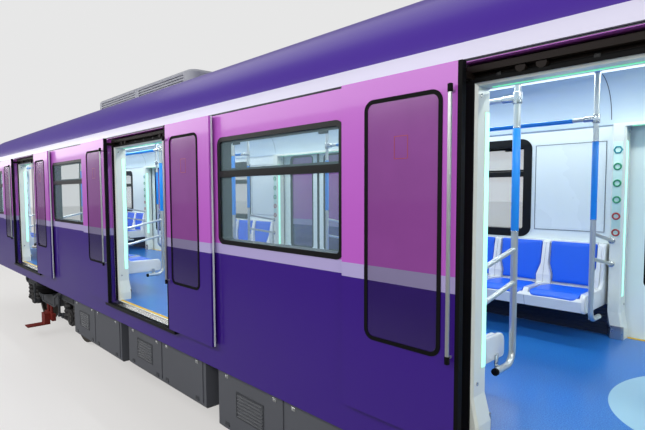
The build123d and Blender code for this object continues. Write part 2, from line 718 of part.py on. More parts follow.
def ceiling_light(side):
    """The long light between the middle panel and one cove."""
    length = HALF_LENGTH - END_WALL
    y0, y1 = sorted((side * (INNER_Y - COVE_RADIUS), side * (INNER_Y - COVE_RADIUS - LIGHT_WIDTH)))
    return block(-length, length, y0, y1, CEILING_Z - LIGHT_DROP, COVE_TOP)


BENCH_INSET = PORTAL_OUTER_HALF + BENCH_GAP
BENCH_LENGTH = DOOR_PITCH - 2 * BENCH_INSET
SEAT_PITCH = BENCH_LENGTH / SEATS_PER_BENCH
END_BENCH_LENGTH = SEAT_PITCH * END_BENCH_SEATS

# start along X, number of seats, ends that stand beside a doorway
BENCHES = [(DOOR_CENTRES[i] + BENCH_INSET, SEATS_PER_BENCH, (-1, 1)) for i in range(DOOR_COUNT - 1)]
BENCHES += [
    (DOOR_CENTRES[-1] + BENCH_INSET, END_BENCH_SEATS, (-1,)),
    (DOOR_CENTRES[0] - BENCH_INSET - END_BENCH_LENGTH, END_BENCH_SEATS, (1,)),
]

SEAT_TOP = FLOOR_TOP + SEAT_HEIGHT


def bench_rib(side, x):
    """The moulded rib between two places: narrow up the back, broad at the hips, narrow along the pan."""
    back = INNER_Y - SEAT_SHELL
    foot = back - BACK_LEAN
    hip = RIB_HIP_WIDTH / 2
    upright = [
        (back, BACK_TOP),
        (back - RIB_PROUD, BACK_TOP - RIB_PROUD / 2),
        (foot - RIB_PROUD, SEAT_TOP + RIB_HIP_FULL),
        (foot - RIB_PROUD, SEAT_TOP),
        (foot, SEAT_TOP),
    ]
    widths = [
        (RIB_WIDTH / 2, BACK_TOP),
        (RIB_WIDTH / 2, SEAT_TOP + RIB_HIP_START),
        (hip, SEAT_TOP + RIB_HIP_FULL),
        (hip, SEAT_TOP),
    ]
    front_view = [(x + u, z) for u, z in widths] + [(x - u, z) for u, z in reversed(widths)]
    rib = prism_x([(side * y, z) for y, z in upright], x - hip, x + hip)
    rib &= prism_y(front_view, *sorted((side * SEAT_FRONT, side * INNER_Y)))
    front = SEAT_FRONT + SEAT_NOSE
    along = [
        (foot, SEAT_TOP),
        (foot, SEAT_TOP + RIB_PROUD),
        (front + RIB_PROUD, SEAT_TOP + RIB_PROUD),
        (front, SEAT_TOP),
    ]
    reaches = [(hip, foot), (RIB_PAN_WIDTH / 2, foot - RIB_PAN_TAPER), (RIB_PAN_WIDTH / 2, SEAT_FRONT)]
    plan = [(x + u, side * y) for u, y in reaches] + [(x - u, side * y) for u, y in reversed(reaches)]
    pan = prism_x([(side * y, z) for y, z in along], x - hip, x + hip)
    return rib + (pan & prism_z(plan, SEAT_TOP, SEAT_TOP + RIB_PROUD))


def bench_shell(side, start, seats):
    """A row of moulded seats: pan, back and front fascia in one section, with a rib at each place's side."""
    back = INNER_Y - SEAT_SHELL
    foot = SEAT_FRONT + SEAT_NOSE + SEAT_FOOT
    end = start + seats * SEAT_PITCH
    outline = [
        (INNER_Y, SEAT_TOP - FASCIA_HEIGHT),
        (INNER_Y, BACK_TOP),
        (back, BACK_TOP),
        (back - BACK_LEAN, SEAT_TOP),
        (SEAT_FRONT + SEAT_NOSE, SEAT_TOP),
        (SEAT_FRONT, SEAT_TOP - SEAT_NOSE),
        (SEAT_FRONT + SEAT_NOSE, SEAT_TOP - FASCIA_HEIGHT),
        (foot, SEAT_TOP - FASCIA_HEIGHT),
        (foot, SEAT_TOP - SEAT_SHELL),
        (back, SEAT_TOP - SEAT_SHELL),
        (back, SEAT_TOP - FASCIA_HEIGHT),
    ]
    shell = prism_x([(side * y, z) for y, z in outline], start, end)
    within = side_block(side, start, end, WALL, HALF_WIDTH, SEAT_TOP, BACK_TOP)
    for i in range(seats + 1):
        rib = bench_rib(side, start + i * SEAT_PITCH)
        shell += rib & within if i in (0, seats) else rib
    return shell


def bench_ends(side, start, seats):
    """The panel that closes a bench at each end, hollowed between its arm and the back."""
    front = SEAT_FRONT - END_PANEL_FRONT
    outline = [
        (INNER_Y, SEAT_TOP - FASCIA_HEIGHT),
        (INNER_Y, BACK_TOP),
        (INNER_Y - END_PANEL_TOP_DEPTH, BACK_TOP),
        (INNER_Y - END_PANEL_KNEE_DEPTH, SEAT_TOP + END_PANEL_KNEE_HEIGHT),
        (INNER_Y - END_PANEL_ARM_DEPTH, SEAT_TOP + END_PANEL_ARM_HEIGHT),
        (front + END_PANEL_NOSE, SEAT_TOP + END_PANEL_NOSE),
        (front, SEAT_TOP),
        (front, SEAT_TOP - FASCIA_HEIGHT + SEAT_NOSE),
        (front + SEAT_NOSE, SEAT_TOP - FASCIA_HEIGHT),
    ]
    points = [(side * y, z) for y, z in outline]
    end = start + seats * SEAT_PITCH
    return [prism_x(points, x, x + END_PANEL) for x in (start - END_PANEL, end)]


def seat_pads(side, start, seats):
    """The back pad and the seat pad of each place on a bench."""
    back_foot = INNER_Y - SEAT_SHELL - BACK_LEAN
    slope = BACK_LEAN / (BACK_TOP - SEAT_TOP)
    z0 = SEAT_TOP + PAD_THICKNESS * 2
    z1 = BACK_TOP - PAD_MARGIN
    back = [
        (back_foot + slope * (z0 - SEAT_TOP), z0),
        (back_foot + slope * (z1 - SEAT_TOP), z1),
        (back_foot + slope * (z1 - SEAT_TOP) - PAD_THICKNESS, z1 - PAD_THICKNESS / 2),
        (back_foot + slope * (z0 - SEAT_TOP) - PAD_THICKNESS, z0),
    ]
    front = SEAT_FRONT + SEAT_NOSE + PAD_MARGIN
    seat = [
        (back_foot - PAD_MARGIN - RIB_PROUD, SEAT_TOP),
        (back_foot - PAD_MARGIN - RIB_PROUD, SEAT_TOP + PAD_THICKNESS),
        (front + PAD_THICKNESS, SEAT_TOP + PAD_THICKNESS),
        (front, SEAT_TOP + PAD_THICKNESS / 2),
        (front, SEAT_TOP),
    ]
    broad = (SEAT_PITCH - RIB_WIDTH) / 2 - PAD_GAP
    waist = (SEAT_PITCH - RIB_HIP_WIDTH) / 2 - PAD_GAP
    knee = (SEAT_PITCH - RIB_PAN_WIDTH) / 2 - PAD_GAP
    widths = [
        (broad, z1),
        (broad, SEAT_TOP + RIB_HIP_START),
        (waist, SEAT_TOP + RIB_HIP_FULL),
        (waist, z0),
    ]
    reaches = [
        (waist, back_foot),
        (knee, back_foot - RIB_PAN_TAPER),
        (knee, front + PAD_CORNER),
        (knee - PAD_CORNER, front),
    ]
    pads = []
    for i in range(seats):
        x = start + (i + 0.5) * SEAT_PITCH
        front_view = [(x + u, z) for u, z in widths] + [(x - u, z) for u, z in reversed(widths)]
        plan = [(x + u, side * y) for u, y in reaches] + [(x - u, side * y) for u, y in reversed(reaches)]
        back_pad = prism_x([(side * y, z) for y, z in back], x - knee, x + knee)
        seat_pad = prism_x([(side * y, z) for y, z in seat], x - knee, x + knee)
        pads.append(back_pad & prism_y(front_view, *sorted((side * SEAT_FRONT, side * INNER_Y))))
        pads.append(seat_pad & prism_z(plan, SEAT_TOP, SEAT_TOP + PAD_THICKNESS))
    return pads


def stanchion(side, x):
    """A post from the ceiling that turns back to the bench's front at its foot."""
    y = side * STANCHION_Y
    foot_y = side * (STANCHION_Y + STANCHION_RETURN)
    path = FilletPolyline(
        (x, y, CEILING_Z), (x, y, STANCHION_FOOT), (x, foot_y, STANCHION_FOOT), radius=STANCHION_BEND
    )
    return sweep(Plane((x, y, CEILING_Z), z_dir=(0, 0, -1)) * Circle(HANDRAIL_RADIUS), path=path)


def side_bars(side, x):
    """The two bars that run down from a stanchion to the portal's jamb."""
    y = side * STANCHION_Y
    portal_y = side * (HALF_WIDTH - PORTAL_INNER_DEPTH)
    past = portal_y + side * WALL
    bars = []
    for z in SIDE_BAR_HEIGHTS:
        run = Line((x, y, z), (x, past, z - SIDE_BAR_DROP * (past - y) / (portal_y - y)))
        bar = sweep(Plane(run @ 0, z_dir=run % 0) * Circle(SIDE_BAR_RADIUS), path=run)
        bar -= block(x - WALL, x + WALL, portal_y, portal_y + side * WALL * 2, STANCHION_FOOT, CEILING_Z)
        bars.append(bar - cylinder_z(x, y, HANDRAIL_RADIUS, STANCHION_FOOT, CEILING_Z))
    return bars


def overhead_rail(side, start, seats, hands):
    """The rail between a bench's stanchions, or from the end wall to the last stanchion."""
    y = side * STANCHION_Y
    offset = BENCH_INSET - STANCHION_OFFSET
    x0 = start - offset if -1 in hands else -HALF_LENGTH + END_WALL
    x1 = start + seats * SEAT_PITCH + offset if 1 in hands else HALF_LENGTH - END_WALL
    rail = cylinder_x(y, OVERHEAD_RAIL_Z, OVERHEAD_RAIL_RADIUS, x0, x1)
    for x in (x0, x1):
        rail -= cylinder_z(x, y, HANDRAIL_RADIUS, STANCHION_FOOT, CEILING_Z)
    return rail


# Gangways


def gangway_ring(x0, x1):
    """An upright frame round the gangway's passage."""
    half = GANGWAY_HALF_WIDTH + GANGWAY_RING_WIDTH
    low = FLOOR_TOP - BELLOWS_FLOOR_DROP
    ring = block(x0, x1, -half, half, low - GANGWAY_RING_WIDTH / 2, GANGWAY_TOP + GANGWAY_RING_WIDTH)
    return ring - block(x0, x1, -GANGWAY_HALF_WIDTH, GANGWAY_HALF_WIDTH, low, GANGWAY_TOP)


def gangway_frame(end):
    """The body's ring and the coupling ring of one gangway, each with its half of the tread."""
    body_x = end * HALF_LENGTH
    bellows = BELLOWS_PLEATS * BELLOWS_PLEAT
    outer_x = end * (HALF_LENGTH + GANGWAY_RING_THICKNESS + bellows)
    rings = []
    tread_half = GANGWAY_HALF_WIDTH - BELLOWS_WALL
    for x in (body_x, outer_x):
        x0, x1 = sorted((x, x + end * GANGWAY_RING_THICKNESS))
        rings.append(gangway_ring(x0, x1))
    x0, x1 = sorted((body_x, outer_x))
    tread = block(x0, x1, -tread_half, tread_half, FLOOR_TOP - TREAD_THICKNESS, FLOOR_TOP)
    foot_x0, foot_x1 = sorted((body_x, body_x + end * GANGWAY_RING_THICKNESS))
    low = FLOOR_TOP - BELLOWS_FLOOR_DROP
    foot = block(foot_x0, foot_x1, -tread_half, tread_half, low, FLOOR_TOP)
    return [rings[0] + foot + tread, rings[1]]


def bellows_section(x, grow):
    """The outer rectangle of the bellows at one place along it."""
    half = GANGWAY_HALF_WIDTH + BELLOWS_WALL + grow
    low = FLOOR_TOP - BELLOWS_FLOOR_DROP - BELLOWS_WALL / 2 - grow
    top = GANGWAY_TOP + BELLOWS_WALL + grow
    return make_face(Polyline((x, -half, low), (x, half, low), (x, half, top), (x, -half, top), close=True))


def gangway_bellows(end):
    """The folded sleeve between the two rings of one gangway, each pleat a ridge between two valleys."""
    start = HALF_LENGTH + GANGWAY_RING_THICKNESS
    low = FLOOR_TOP - BELLOWS_FLOOR_DROP
    sleeve = None
    for i in range(BELLOWS_PLEATS):
        valley = end * (start + i * BELLOWS_PLEAT)
        ridge = end * (start + (i + 0.5) * BELLOWS_PLEAT)
        after = end * (start + (i + 1) * BELLOWS_PLEAT)
        crest = bellows_section(ridge, BELLOWS_PLEAT_DEPTH)
        for foot in (valley, after):
            fold = loft([bellows_section(foot, 0), crest], ruled=True)
            sleeve = fold if sleeve is None else sleeve + fold
    x0, x1 = sorted((end * start, end * (start + BELLOWS_PLEATS * BELLOWS_PLEAT)))
    return sleeve - block(x0, x1, -GANGWAY_HALF_WIDTH, GANGWAY_HALF_WIDTH, low, GANGWAY_TOP)


# Underframe


def sole_bars():
    """The two bars along the foot of the walls."""
    inner = HALF_LENGTH - END_WALL
    return [
        side_block(side, -inner, inner, WALL, WALL + SOLE_BAR_WIDTH, SKIRT_BOTTOM, FLOOR_UNDERSIDE)
        for side in SIDES
    ]


def cross_members():
    """The cross members between the sole bars, and a headstock at each end."""
    inner = HALF_LENGTH - END_WALL
    reach = INNER_Y - SOLE_BAR_WIDTH
    half = CROSS_MEMBER_WIDTH / 2
    low = FLOOR_UNDERSIDE - CROSS_MEMBER_HEIGHT
    members = []
    count = int((inner - HEADSTOCK_LENGTH - half) // BAY)
    for i in range(-count, count + 1):
        x = i * BAY
        over_bogie = abs(abs(x) - BOGIE_CENTRE) < BOLSTER_LENGTH / 2 + half
        over_coupler = abs(x) > COUPLER_PIVOT - COUPLER_BRACKET_WIDTH - half
        if not over_bogie and not over_coupler:
            members.append(block(x - half, x + half, -reach, reach, low, FLOOR_UNDERSIDE))
    for end in ENDS:
        x0, x1 = sorted((end * (inner - HEADSTOCK_LENGTH), end * inner))
        members.append(block(x0, x1, -reach, reach, SKIRT_BOTTOM, FLOOR_UNDERSIDE))
    return members


def bolster(end):
    """The deep beam over one bogie with its pivot."""
    x = end * BOGIE_CENTRE
    half = BOLSTER_LENGTH / 2
    reach = INNER_Y - SOLE_BAR_WIDTH
    beam = block(x - half, x + half, -reach, reach, SKIRT_BOTTOM, FLOOR_UNDERSIDE)
    return beam + cylinder_z(x, 0, PIVOT_RADIUS, SKIRT_BOTTOM - PIVOT_REACH, SKIRT_BOTTOM)


# first and last cross member, side, depth below the skirt
EQUIPMENT = [
    (-5, -3, -1, 520.0),
    (-3, -1, -1, 470.0),
    (-1, 2, -1, 540.0),
    (2, 5, -1, 500.0),
    (-5, -2, 1, 540.0),
    (-2, 0, 1, 480.0),
    (2, 5, 1, 520.0),
]
EQUIPMENT_GAP = 200.0
EQUIPMENT_INNER = 420.0
EQUIPMENT_DEPTH = 63.0
EQUIPMENT_CHAMFER = 30.0
COMPRESSOR_MEMBER = 1
COMPRESSOR_Y = 850.0
COMPRESSOR_RADIUS = 190.0
COMPRESSOR_LENGTH = 900.0
COMPRESSOR_DROP = 266.0
PUMP_HEAD_HALF_HEIGHT = 152.0
HANGER_SHIFT = 315.0
RESERVOIR_RADIUS = 170.0
RESERVOIR_LENGTH = 1500.0
RESERVOIR_DROP = 260.0
RESERVOIR_DOME = 76.5
RESERVOIR_MEMBERS = (-2.5, -0.5, 1.5)
STRAP_WIDTH = 60.0


def equipment_box(first, last, side, drop):
    """One closed electrical case hung under the frame, its lower edges cut back, with a lid to each bay."""
    x0 = first * BAY + EQUIPMENT_GAP / 2
    x1 = last * BAY - EQUIPMENT_GAP / 2
    depth = HALF_WIDTH - EQUIPMENT_INNER
    case = side_block(side, x0, x1, EQUIPMENT_DEPTH, depth, SKIRT_BOTTOM - drop, SKIRT_BOTTOM)
    case = chamfer(case.faces().sort_by(Axis.Z)[0].edges(), EQUIPMENT_CHAMFER)
    low = SKIRT_BOTTOM - drop + EQUIPMENT_CHAMFER + LID_GAP
    lids = last - first
    pitch = (x1 - x0 - LID_MARGIN * 2 + LID_GAP) / lids
    for i in range(lids):
        left = x0 + LID_MARGIN + i * pitch
        case += side_block(
            side, left, left + pitch - LID_GAP, EQUIPMENT_DEPTH - LID_PROUD, EQUIPMENT_DEPTH,
            low, SKIRT_BOTTOM - LID_GAP
        )
    return case


def compressor():
    """The air compressor: motor, pump head and two hanger plates."""
    half = COMPRESSOR_LENGTH / 2
    middle = COMPRESSOR_MEMBER * BAY
    z = SKIRT_BOTTOM - COMPRESSOR_DROP
    unit = cylinder_x(COMPRESSOR_Y, z, COMPRESSOR_RADIUS, middle - half, middle + half / 3)
    unit += block(
        middle + half / 3, middle + half, COMPRESSOR_Y - COMPRESSOR_RADIUS,
        COMPRESSOR_Y + COMPRESSOR_RADIUS, z - COMPRESSOR_RADIUS, z + PUMP_HEAD_HALF_HEIGHT
    )
    for shift in (-HANGER_SHIFT, HANGER_SHIFT):
        x = middle + shift
        unit += block(
            x - STRAP_WIDTH / 2, x + STRAP_WIDTH / 2, COMPRESSOR_Y - COMPRESSOR_RADIUS / 2,
            INNER_Y, SKIRT_BOTTOM - STRAP_WIDTH, SKIRT_BOTTOM
        )
        unit += block(
            x - STRAP_WIDTH / 2, x + STRAP_WIDTH / 2, COMPRESSOR_Y - COMPRESSOR_RADIUS / 2,
            COMPRESSOR_Y + COMPRESSOR_RADIUS / 2, z, SKIRT_BOTTOM
        )
    return unit


def air_reservoir(x):
    """A domed air tank on two hangers from the cross members."""
    z = FLOOR_UNDERSIDE - CROSS_MEMBER_HEIGHT - RESERVOIR_DROP
    tank = cylinder_x(0, z, RESERVOIR_RADIUS, x - RESERVOIR_LENGTH / 2, x + RESERVOIR_LENGTH / 2)
    tank = fillet(tank.edges().filter_by(GeomType.CIRCLE), RESERVOIR_DOME)
    for member in (x - BAY / 2, x + BAY / 2):
        tank += block(
            member - STRAP_WIDTH / 2, member + STRAP_WIDTH / 2, -STRAP_WIDTH, STRAP_WIDTH,
            z, FLOOR_UNDERSIDE - CROSS_MEMBER_HEIGHT
        )
    return tank


# Couplers


def coupler_bracket(end):
    """The draft beam with the clevis that holds a coupler's pin, and the saddle under its bar."""
    x = end * COUPLER_PIVOT
    half = COUPLER_BRACKET_WIDTH / 2
    eye = COUPLER_EYE_HALF_HEIGHT + COUPLER_SADDLE_GAP
    plate = COUPLER_BAR_RADIUS / 2
    clevis = block(x - half, x + half, -half, half, COUPLER_Z + eye, SKIRT_BOTTOM)
    back_x0, back_x1 = sorted((x - end * half, x - end * (COUPLER_EYE_RADIUS + COUPLER_SADDLE_GAP)))
    clevis += block(back_x0, back_x1, -half, half, COUPLER_Z - eye - plate, COUPLER_Z + eye)
    clevis += block(x - half, x + half, -half, half, COUPLER_Z - eye - plate, COUPLER_Z - eye)
    clevis += cylinder_z(x, 0, COUPLER_PIN_RADIUS, COUPLER_Z - eye, COUPLER_Z + eye)
    headstock_x = end * (HALF_LENGTH - END_WALL - HEADSTOCK_LENGTH)
    beam_x0, beam_x1 = sorted((x - end * COUPLER_BRACKET_WIDTH, headstock_x))
    beam_half = DRAFT_BEAM_WIDTH / 2
    clevis += block(beam_x0, beam_x1, -beam_half, beam_half, SKIRT_BOTTOM, FLOOR_UNDERSIDE)
    saddle_x = end * COUPLER_SADDLE_X
    x0, x1 = sorted((saddle_x - end * STRAP_WIDTH / 2, saddle_x + end * STRAP_WIDTH / 2))
    low = COUPLER_Z - COUPLER_BAR_RADIUS - COUPLER_SADDLE_GAP
    saddle = block(x0, x1, -COUPLER_SADDLE_HALF - plate, COUPLER_SADDLE_HALF + plate, low - plate, SKIRT_BOTTOM)
    saddle -= block(x0, x1, -COUPLER_SADDLE_HALF, COUPLER_SADDLE_HALF, low, SKIRT_BOTTOM)
    return [clevis, saddle]


def coupler(end):
    """A swinging coupler: eye, bar and a head with its cone and cup."""
    x = end * COUPLER_PIVOT
    head_back = end * (COUPLING_PLANE - COUPLER_HEAD_LENGTH)
    body = cylinder_z(
        x, 0, COUPLER_EYE_RADIUS, COUPLER_Z - COUPLER_EYE_HALF_HEIGHT, COUPLER_Z + COUPLER_EYE_HALF_HEIGHT
    )
    body += cylinder_x(0, COUPLER_Z, COUPLER_BAR_RADIUS, x, head_back)
    body -= cylinder_z(
        x, 0, COUPLER_PIN_RADIUS + COUPLER_PIN_CLEARANCE,
        COUPLER_Z - COUPLER_EYE_HALF_HEIGHT, COUPLER_Z + COUPLER_EYE_HALF_HEIGHT
    )
    x0, x1 = sorted((head_back, end * COUPLING_PLANE))
    half_width = COUPLER_HEAD_WIDTH / 2
    half_height = COUPLER_HEAD_HEIGHT / 2
    head = block(x0, x1, -half_width, half_width, COUPLER_Z - half_height, COUPLER_Z + half_height)
    head = chamfer(head.edges().filter_by(Axis.X), COUPLER_HEAD_CORNER)
    cup = cylinder_x(
        -COUPLER_CUP_Y, COUPLER_Z, COUPLER_CUP_RADIUS,
        end * COUPLING_PLANE, end * (COUPLING_PLANE - COUPLER_CUP_DEPTH)
    )
    contact_x0, contact_x1 = sorted((end * COUPLING_PLANE, end * (COUPLING_PLANE - CONTACT_BOX_LENGTH)))
    contacts = block(
        contact_x0, contact_x1, -CONTACT_BOX_WIDTH / 2, CONTACT_BOX_WIDTH / 2,
        COUPLER_Z - half_height - CONTACT_BOX_HEIGHT, COUPLER_Z - half_height
    )
    return body + head + contacts - cup


# Bogies


def wheelset(x):
    """An axle with its two wheels, turned about Y as one body."""
    rim_inner = TREAD_RADIUS - RIM_DEPTH
    outer = WHEEL_BACK + WHEEL_WIDTH
    middle = WHEEL_BACK + WHEEL_WIDTH / 2
    half = [
        (0, AXLE_RADIUS),
        (WHEEL_BACK - HUB_STEP, AXLE_RADIUS),
        (WHEEL_BACK - HUB_STEP, HUB_RADIUS),
        (middle - WHEEL_WEB, HUB_RADIUS + WEB_FLARE),
        (middle - WHEEL_WEB / 2, rim_inner - RIM_FLARE),
        (WHEEL_BACK, rim_inner),
    ]
    half += [(WHEEL_BACK + across, TREAD_RADIUS + rise) for across, rise in TREAD_PROFILE]
    half += [
        (outer, rim_inner),
        (middle + WHEEL_WEB / 2, rim_inner - RIM_FLARE),
        (middle + WHEEL_WEB, HUB_RADIUS + WEB_FLARE),
        (outer + HUB_PROUD, HUB_RADIUS),
        (outer + HUB_PROUD, AXLE_RADIUS),
        (outer + SEAT_STEP, JOURNAL_RADIUS),
        (AXLE_HALF, JOURNAL_RADIUS),
    ]
    outline = [(-y, r) for y, r in reversed(half)] + half[1:]
    outline = [(-AXLE_HALF, 0)] + outline + [(AXLE_HALF, 0)]
    wire = Polyline(*[(0, y, r) for y, r in outline], close=True)
    return Pos(x, 0, AXLE_Z) * revolve(make_face(wire), axis=Axis.Y, revolution_arc=360)


def bogie_frame(x):
    """Two swan-necked side beams and a cross beam with the pivot's bore."""
    low = FRAME_CENTRE_TOP - FRAME_BEAM_HEIGHT
    end_low = FRAME_END_TOP - FRAME_END_HEIGHT
    outline = [
        (-FRAME_HALF_LENGTH, end_low + FRAME_TIP),
        (-FRAME_HALF_LENGTH, FRAME_END_TOP),
        (-FRAME_NECK_HALF, FRAME_END_TOP),
        (-FRAME_FLAT_HALF, FRAME_CENTRE_TOP),
        (FRAME_FLAT_HALF, FRAME_CENTRE_TOP),
        (FRAME_NECK_HALF, FRAME_END_TOP),
        (FRAME_HALF_LENGTH, FRAME_END_TOP),
        (FRAME_HALF_LENGTH, end_low + FRAME_TIP),
        (FRAME_HALF_LENGTH - FRAME_TIP, end_low),
        (FRAME_NECK_HALF + FRAME_NECK_RUN, end_low),
        (FRAME_FLAT_HALF, low),
        (-FRAME_FLAT_HALF, low),
        (-FRAME_NECK_HALF - FRAME_NECK_RUN, end_low),
        (-FRAME_HALF_LENGTH + FRAME_TIP, end_low),
    ]
    y0 = FRAME_Y - FRAME_BEAM_WIDTH / 2
    y1 = FRAME_Y + FRAME_BEAM_WIDTH / 2
    frame = block(
        -TRANSOM_HALF_LENGTH, TRANSOM_HALF_LENGTH, -y0, y0, FRAME_CENTRE_TOP - TRANSOM_HEIGHT, FRAME_CENTRE_TOP
    )
    inset = FRAME_PANEL_INSET
    # each sunk panel of a side beam: near end and far end along it, each with its lower and upper height
    panels = [
        ((-FRAME_FLAT_HALF, low, FRAME_CENTRE_TOP), (FRAME_FLAT_HALF, low, FRAME_CENTRE_TOP)),
        ((FRAME_FLAT_HALF, low, FRAME_CENTRE_TOP), (FRAME_NECK_HALF, end_low, FRAME_END_TOP)),
        ((FRAME_NECK_HALF, end_low, FRAME_END_TOP), (FRAME_HALF_LENGTH - FRAME_TIP, end_low, FRAME_END_TOP)),
    ]
    for side in SIDES:
        frame += prism_y(outline, *sorted((side * y0, side * y1)))
        skin = sorted((side * (y1 - FRAME_PANEL_DEPTH), side * y1))
        for (near_x, near_low, near_top), (far_x, far_low, far_top) in panels:
            panel = [
                (near_x + inset, near_low + inset),
                (far_x - inset, far_low + inset),
                (far_x - inset, far_top - inset),
                (near_x + inset, near_top - inset),
            ]
            for hand in LEAF_HANDS if near_x > 0 else (1,):
                frame -= prism_y([(hand * u, z) for u, z in panel], *skin)
    frame -= cylinder_z(0, 0, PIVOT_RADIUS + PIVOT_CLEARANCE, low, FRAME_CENTRE_TOP)
    return Pos(x, 0, 0) * frame


def air_spring(x, side):
    """One air spring: a rolling bag between two plates."""
    z0 = FRAME_CENTRE_TOP
    z1 = SKIRT_BOTTOM - SEAT_GAP
    middle = (z0 + z1) / 2
    r = AIR_SPRING_RADIUS
    plate = AIR_SPRING_PLATE
    outline = [
        (0, z0), (AIR_SPRING_PEDESTAL, z0), (AIR_SPRING_PEDESTAL, z0 + plate),
        (AIR_SPRING_THROAT, z0 + plate * 2), (r, middle - plate), (r, middle + plate),
        (AIR_SPRING_THROAT, z1 - plate * 2), (AIR_SPRING_LID, z1 - plate), (AIR_SPRING_LID, z1), (0, z1),
    ]
    wire = Polyline(*[(u, 0, z) for u, z in outline], close=True)
    return Pos(x, side * FRAME_Y, 0) * revolve(make_face(wire), axis=Axis.Z, revolution_arc=360)


def axlebox(x, side):
    """A journal's housing with its two spring wings and the ribbed springs on them."""
    outer = side * (AXLE_HALF + BOX_END_GAP)
    inner = side * (AXLE_HALF + BOX_END_GAP - BOX_WIDTH)
    y0, y1 = sorted((inner, outer))
    half = BOX_LENGTH / 2
    box = block(x - half, x + half, y0, y1, AXLE_Z - BOX_HEIGHT / 2, AXLE_Z + BOX_HEIGHT / 2)
    box = chamfer(box.edges().filter_by(Axis.Y), BOX_CORNER)
    wing = BOX_WING_LENGTH / 2
    box += block(x - wing, x + wing, y0, y1, BOX_WING_Z, BOX_WING_Z + BOX_WING_HEIGHT)
    box += cylinder_y(x, AXLE_Z, BOX_COVER_RADIUS, outer, outer + side * BOX_COVER_THICKNESS)
    bore_end = outer - side * BOX_BORE_DEPTH
    box -= cylinder_y(x, AXLE_Z, JOURNAL_RADIUS + JOURNAL_CLEARANCE, inner, bore_end)
    middle = (y0 + y1) / 2
    z0 = BOX_WING_Z + BOX_WING_HEIGHT
    z1 = FRAME_END_TOP - FRAME_END_HEIGHT
    step = (z1 - z0) / SPRING_RINGS
    for shift in (-1, 1):
        outline = [(0, z0)]
        for i in range(SPRING_RINGS):
            base = z0 + i * step
            outline += [(SPRING_WAIST, base), (SPRING_RADIUS, base + step / 2)]
        outline += [(SPRING_WAIST, z1), (0, z1)]
        wire = Polyline(*[(r, 0, z) for r, z in outline], close=True)
        spring = revolve(make_face(wire), axis=Axis.Z, revolution_arc=360)
        box += Pos(x + shift * SPRING_X, middle, 0) * spring
    return box


def drive(x, direction):
    """A traction motor with the gearbox that hangs on its axle."""
    axle_x = x + direction * WHEELBASE / 2
    motor_x = x + direction * MOTOR_X
    y_flip = direction
    y0, y1 = sorted((y_flip * MOTOR_START, y_flip * MOTOR_END))
    unit = cylinder_y(motor_x, AXLE_Z, MOTOR_RADIUS, y0, y1)
    gear_y0 = y_flip * MOTOR_END
    gear_y1 = y_flip * (MOTOR_END + GEARBOX_WIDTH)
    for place in MOTOR_BANDS:
        band_y = y_flip * place
        half = MOTOR_BAND_WIDTH / 2
        unit += cylinder_y(motor_x, AXLE_Z, MOTOR_RADIUS + MOTOR_BAND_PROUD, band_y - half, band_y + half)
    unit += cylinder_y(motor_x, AXLE_Z, PINION_CASE_RADIUS, gear_y0, gear_y1)
    unit += cylinder_y(axle_x, AXLE_Z, GEARBOX_RADIUS, gear_y0, gear_y1)
    bx0, bx1 = sorted((motor_x, axle_x))
    by0, by1 = sorted((gear_y0, gear_y1))
    unit += block(bx0, bx1, by0, by1, AXLE_Z - GEARBOX_HALF_HEIGHT, AXLE_Z + GEARBOX_HALF_HEIGHT)
    bracket_x0, bracket_x1 = sorted((x + direction * TRANSOM_HALF_LENGTH, motor_x))
    unit += block(
        bracket_x0, bracket_x1, y_flip * MOTOR_BRACKET[0], y_flip * MOTOR_BRACKET[1],
        AXLE_Z + MOTOR_BRACKET_RISE, FRAME_CENTRE_TOP - MOTOR_BRACKET_DROP
    )
    return unit - cylinder_y(axle_x, AXLE_Z, AXLE_RADIUS + GEARBOX_CLEARANCE, gear_y0, gear_y1)


def brake_unit(x, direction, side):
    """A tread brake: cylinder block on the cross beam and a shoe beside the wheel."""
    axle_x = x + direction * WHEELBASE / 2
    start = x + direction * TRANSOM_HALF_LENGTH
    shoe_back = axle_x - direction * (TREAD_RADIUS + BRAKE_GAP + BRAKE_SHOE / 2)
    shoe_front = axle_x - direction * (TREAD_RADIUS - BRAKE_SHOE / 2)
    middle = WHEEL_BACK + WHEEL_WIDTH / 2 + BRAKE_SHIFT
    y0, y1 = sorted((side * (middle - BRAKE_WIDTH / 2), side * (middle + BRAKE_WIDTH / 2)))
    top = FRAME_CENTRE_TOP - BRAKE_DROP
    low = top - BRAKE_BODY_HEIGHT
    bx0, bx1 = sorted((start, shoe_back))
    unit = block(bx0, bx1, y0, y1, low, top)
    sx0, sx1 = sorted((shoe_back, shoe_front))
    unit += block(sx0, sx1, y0, y1, AXLE_Z - BRAKE_BODY_HEIGHT / 2, top - BRAKE_SHOE_DROP)
    return unit - cylinder_y(axle_x, AXLE_Z, TREAD_RADIUS + BRAKE_GAP, y0, y1)


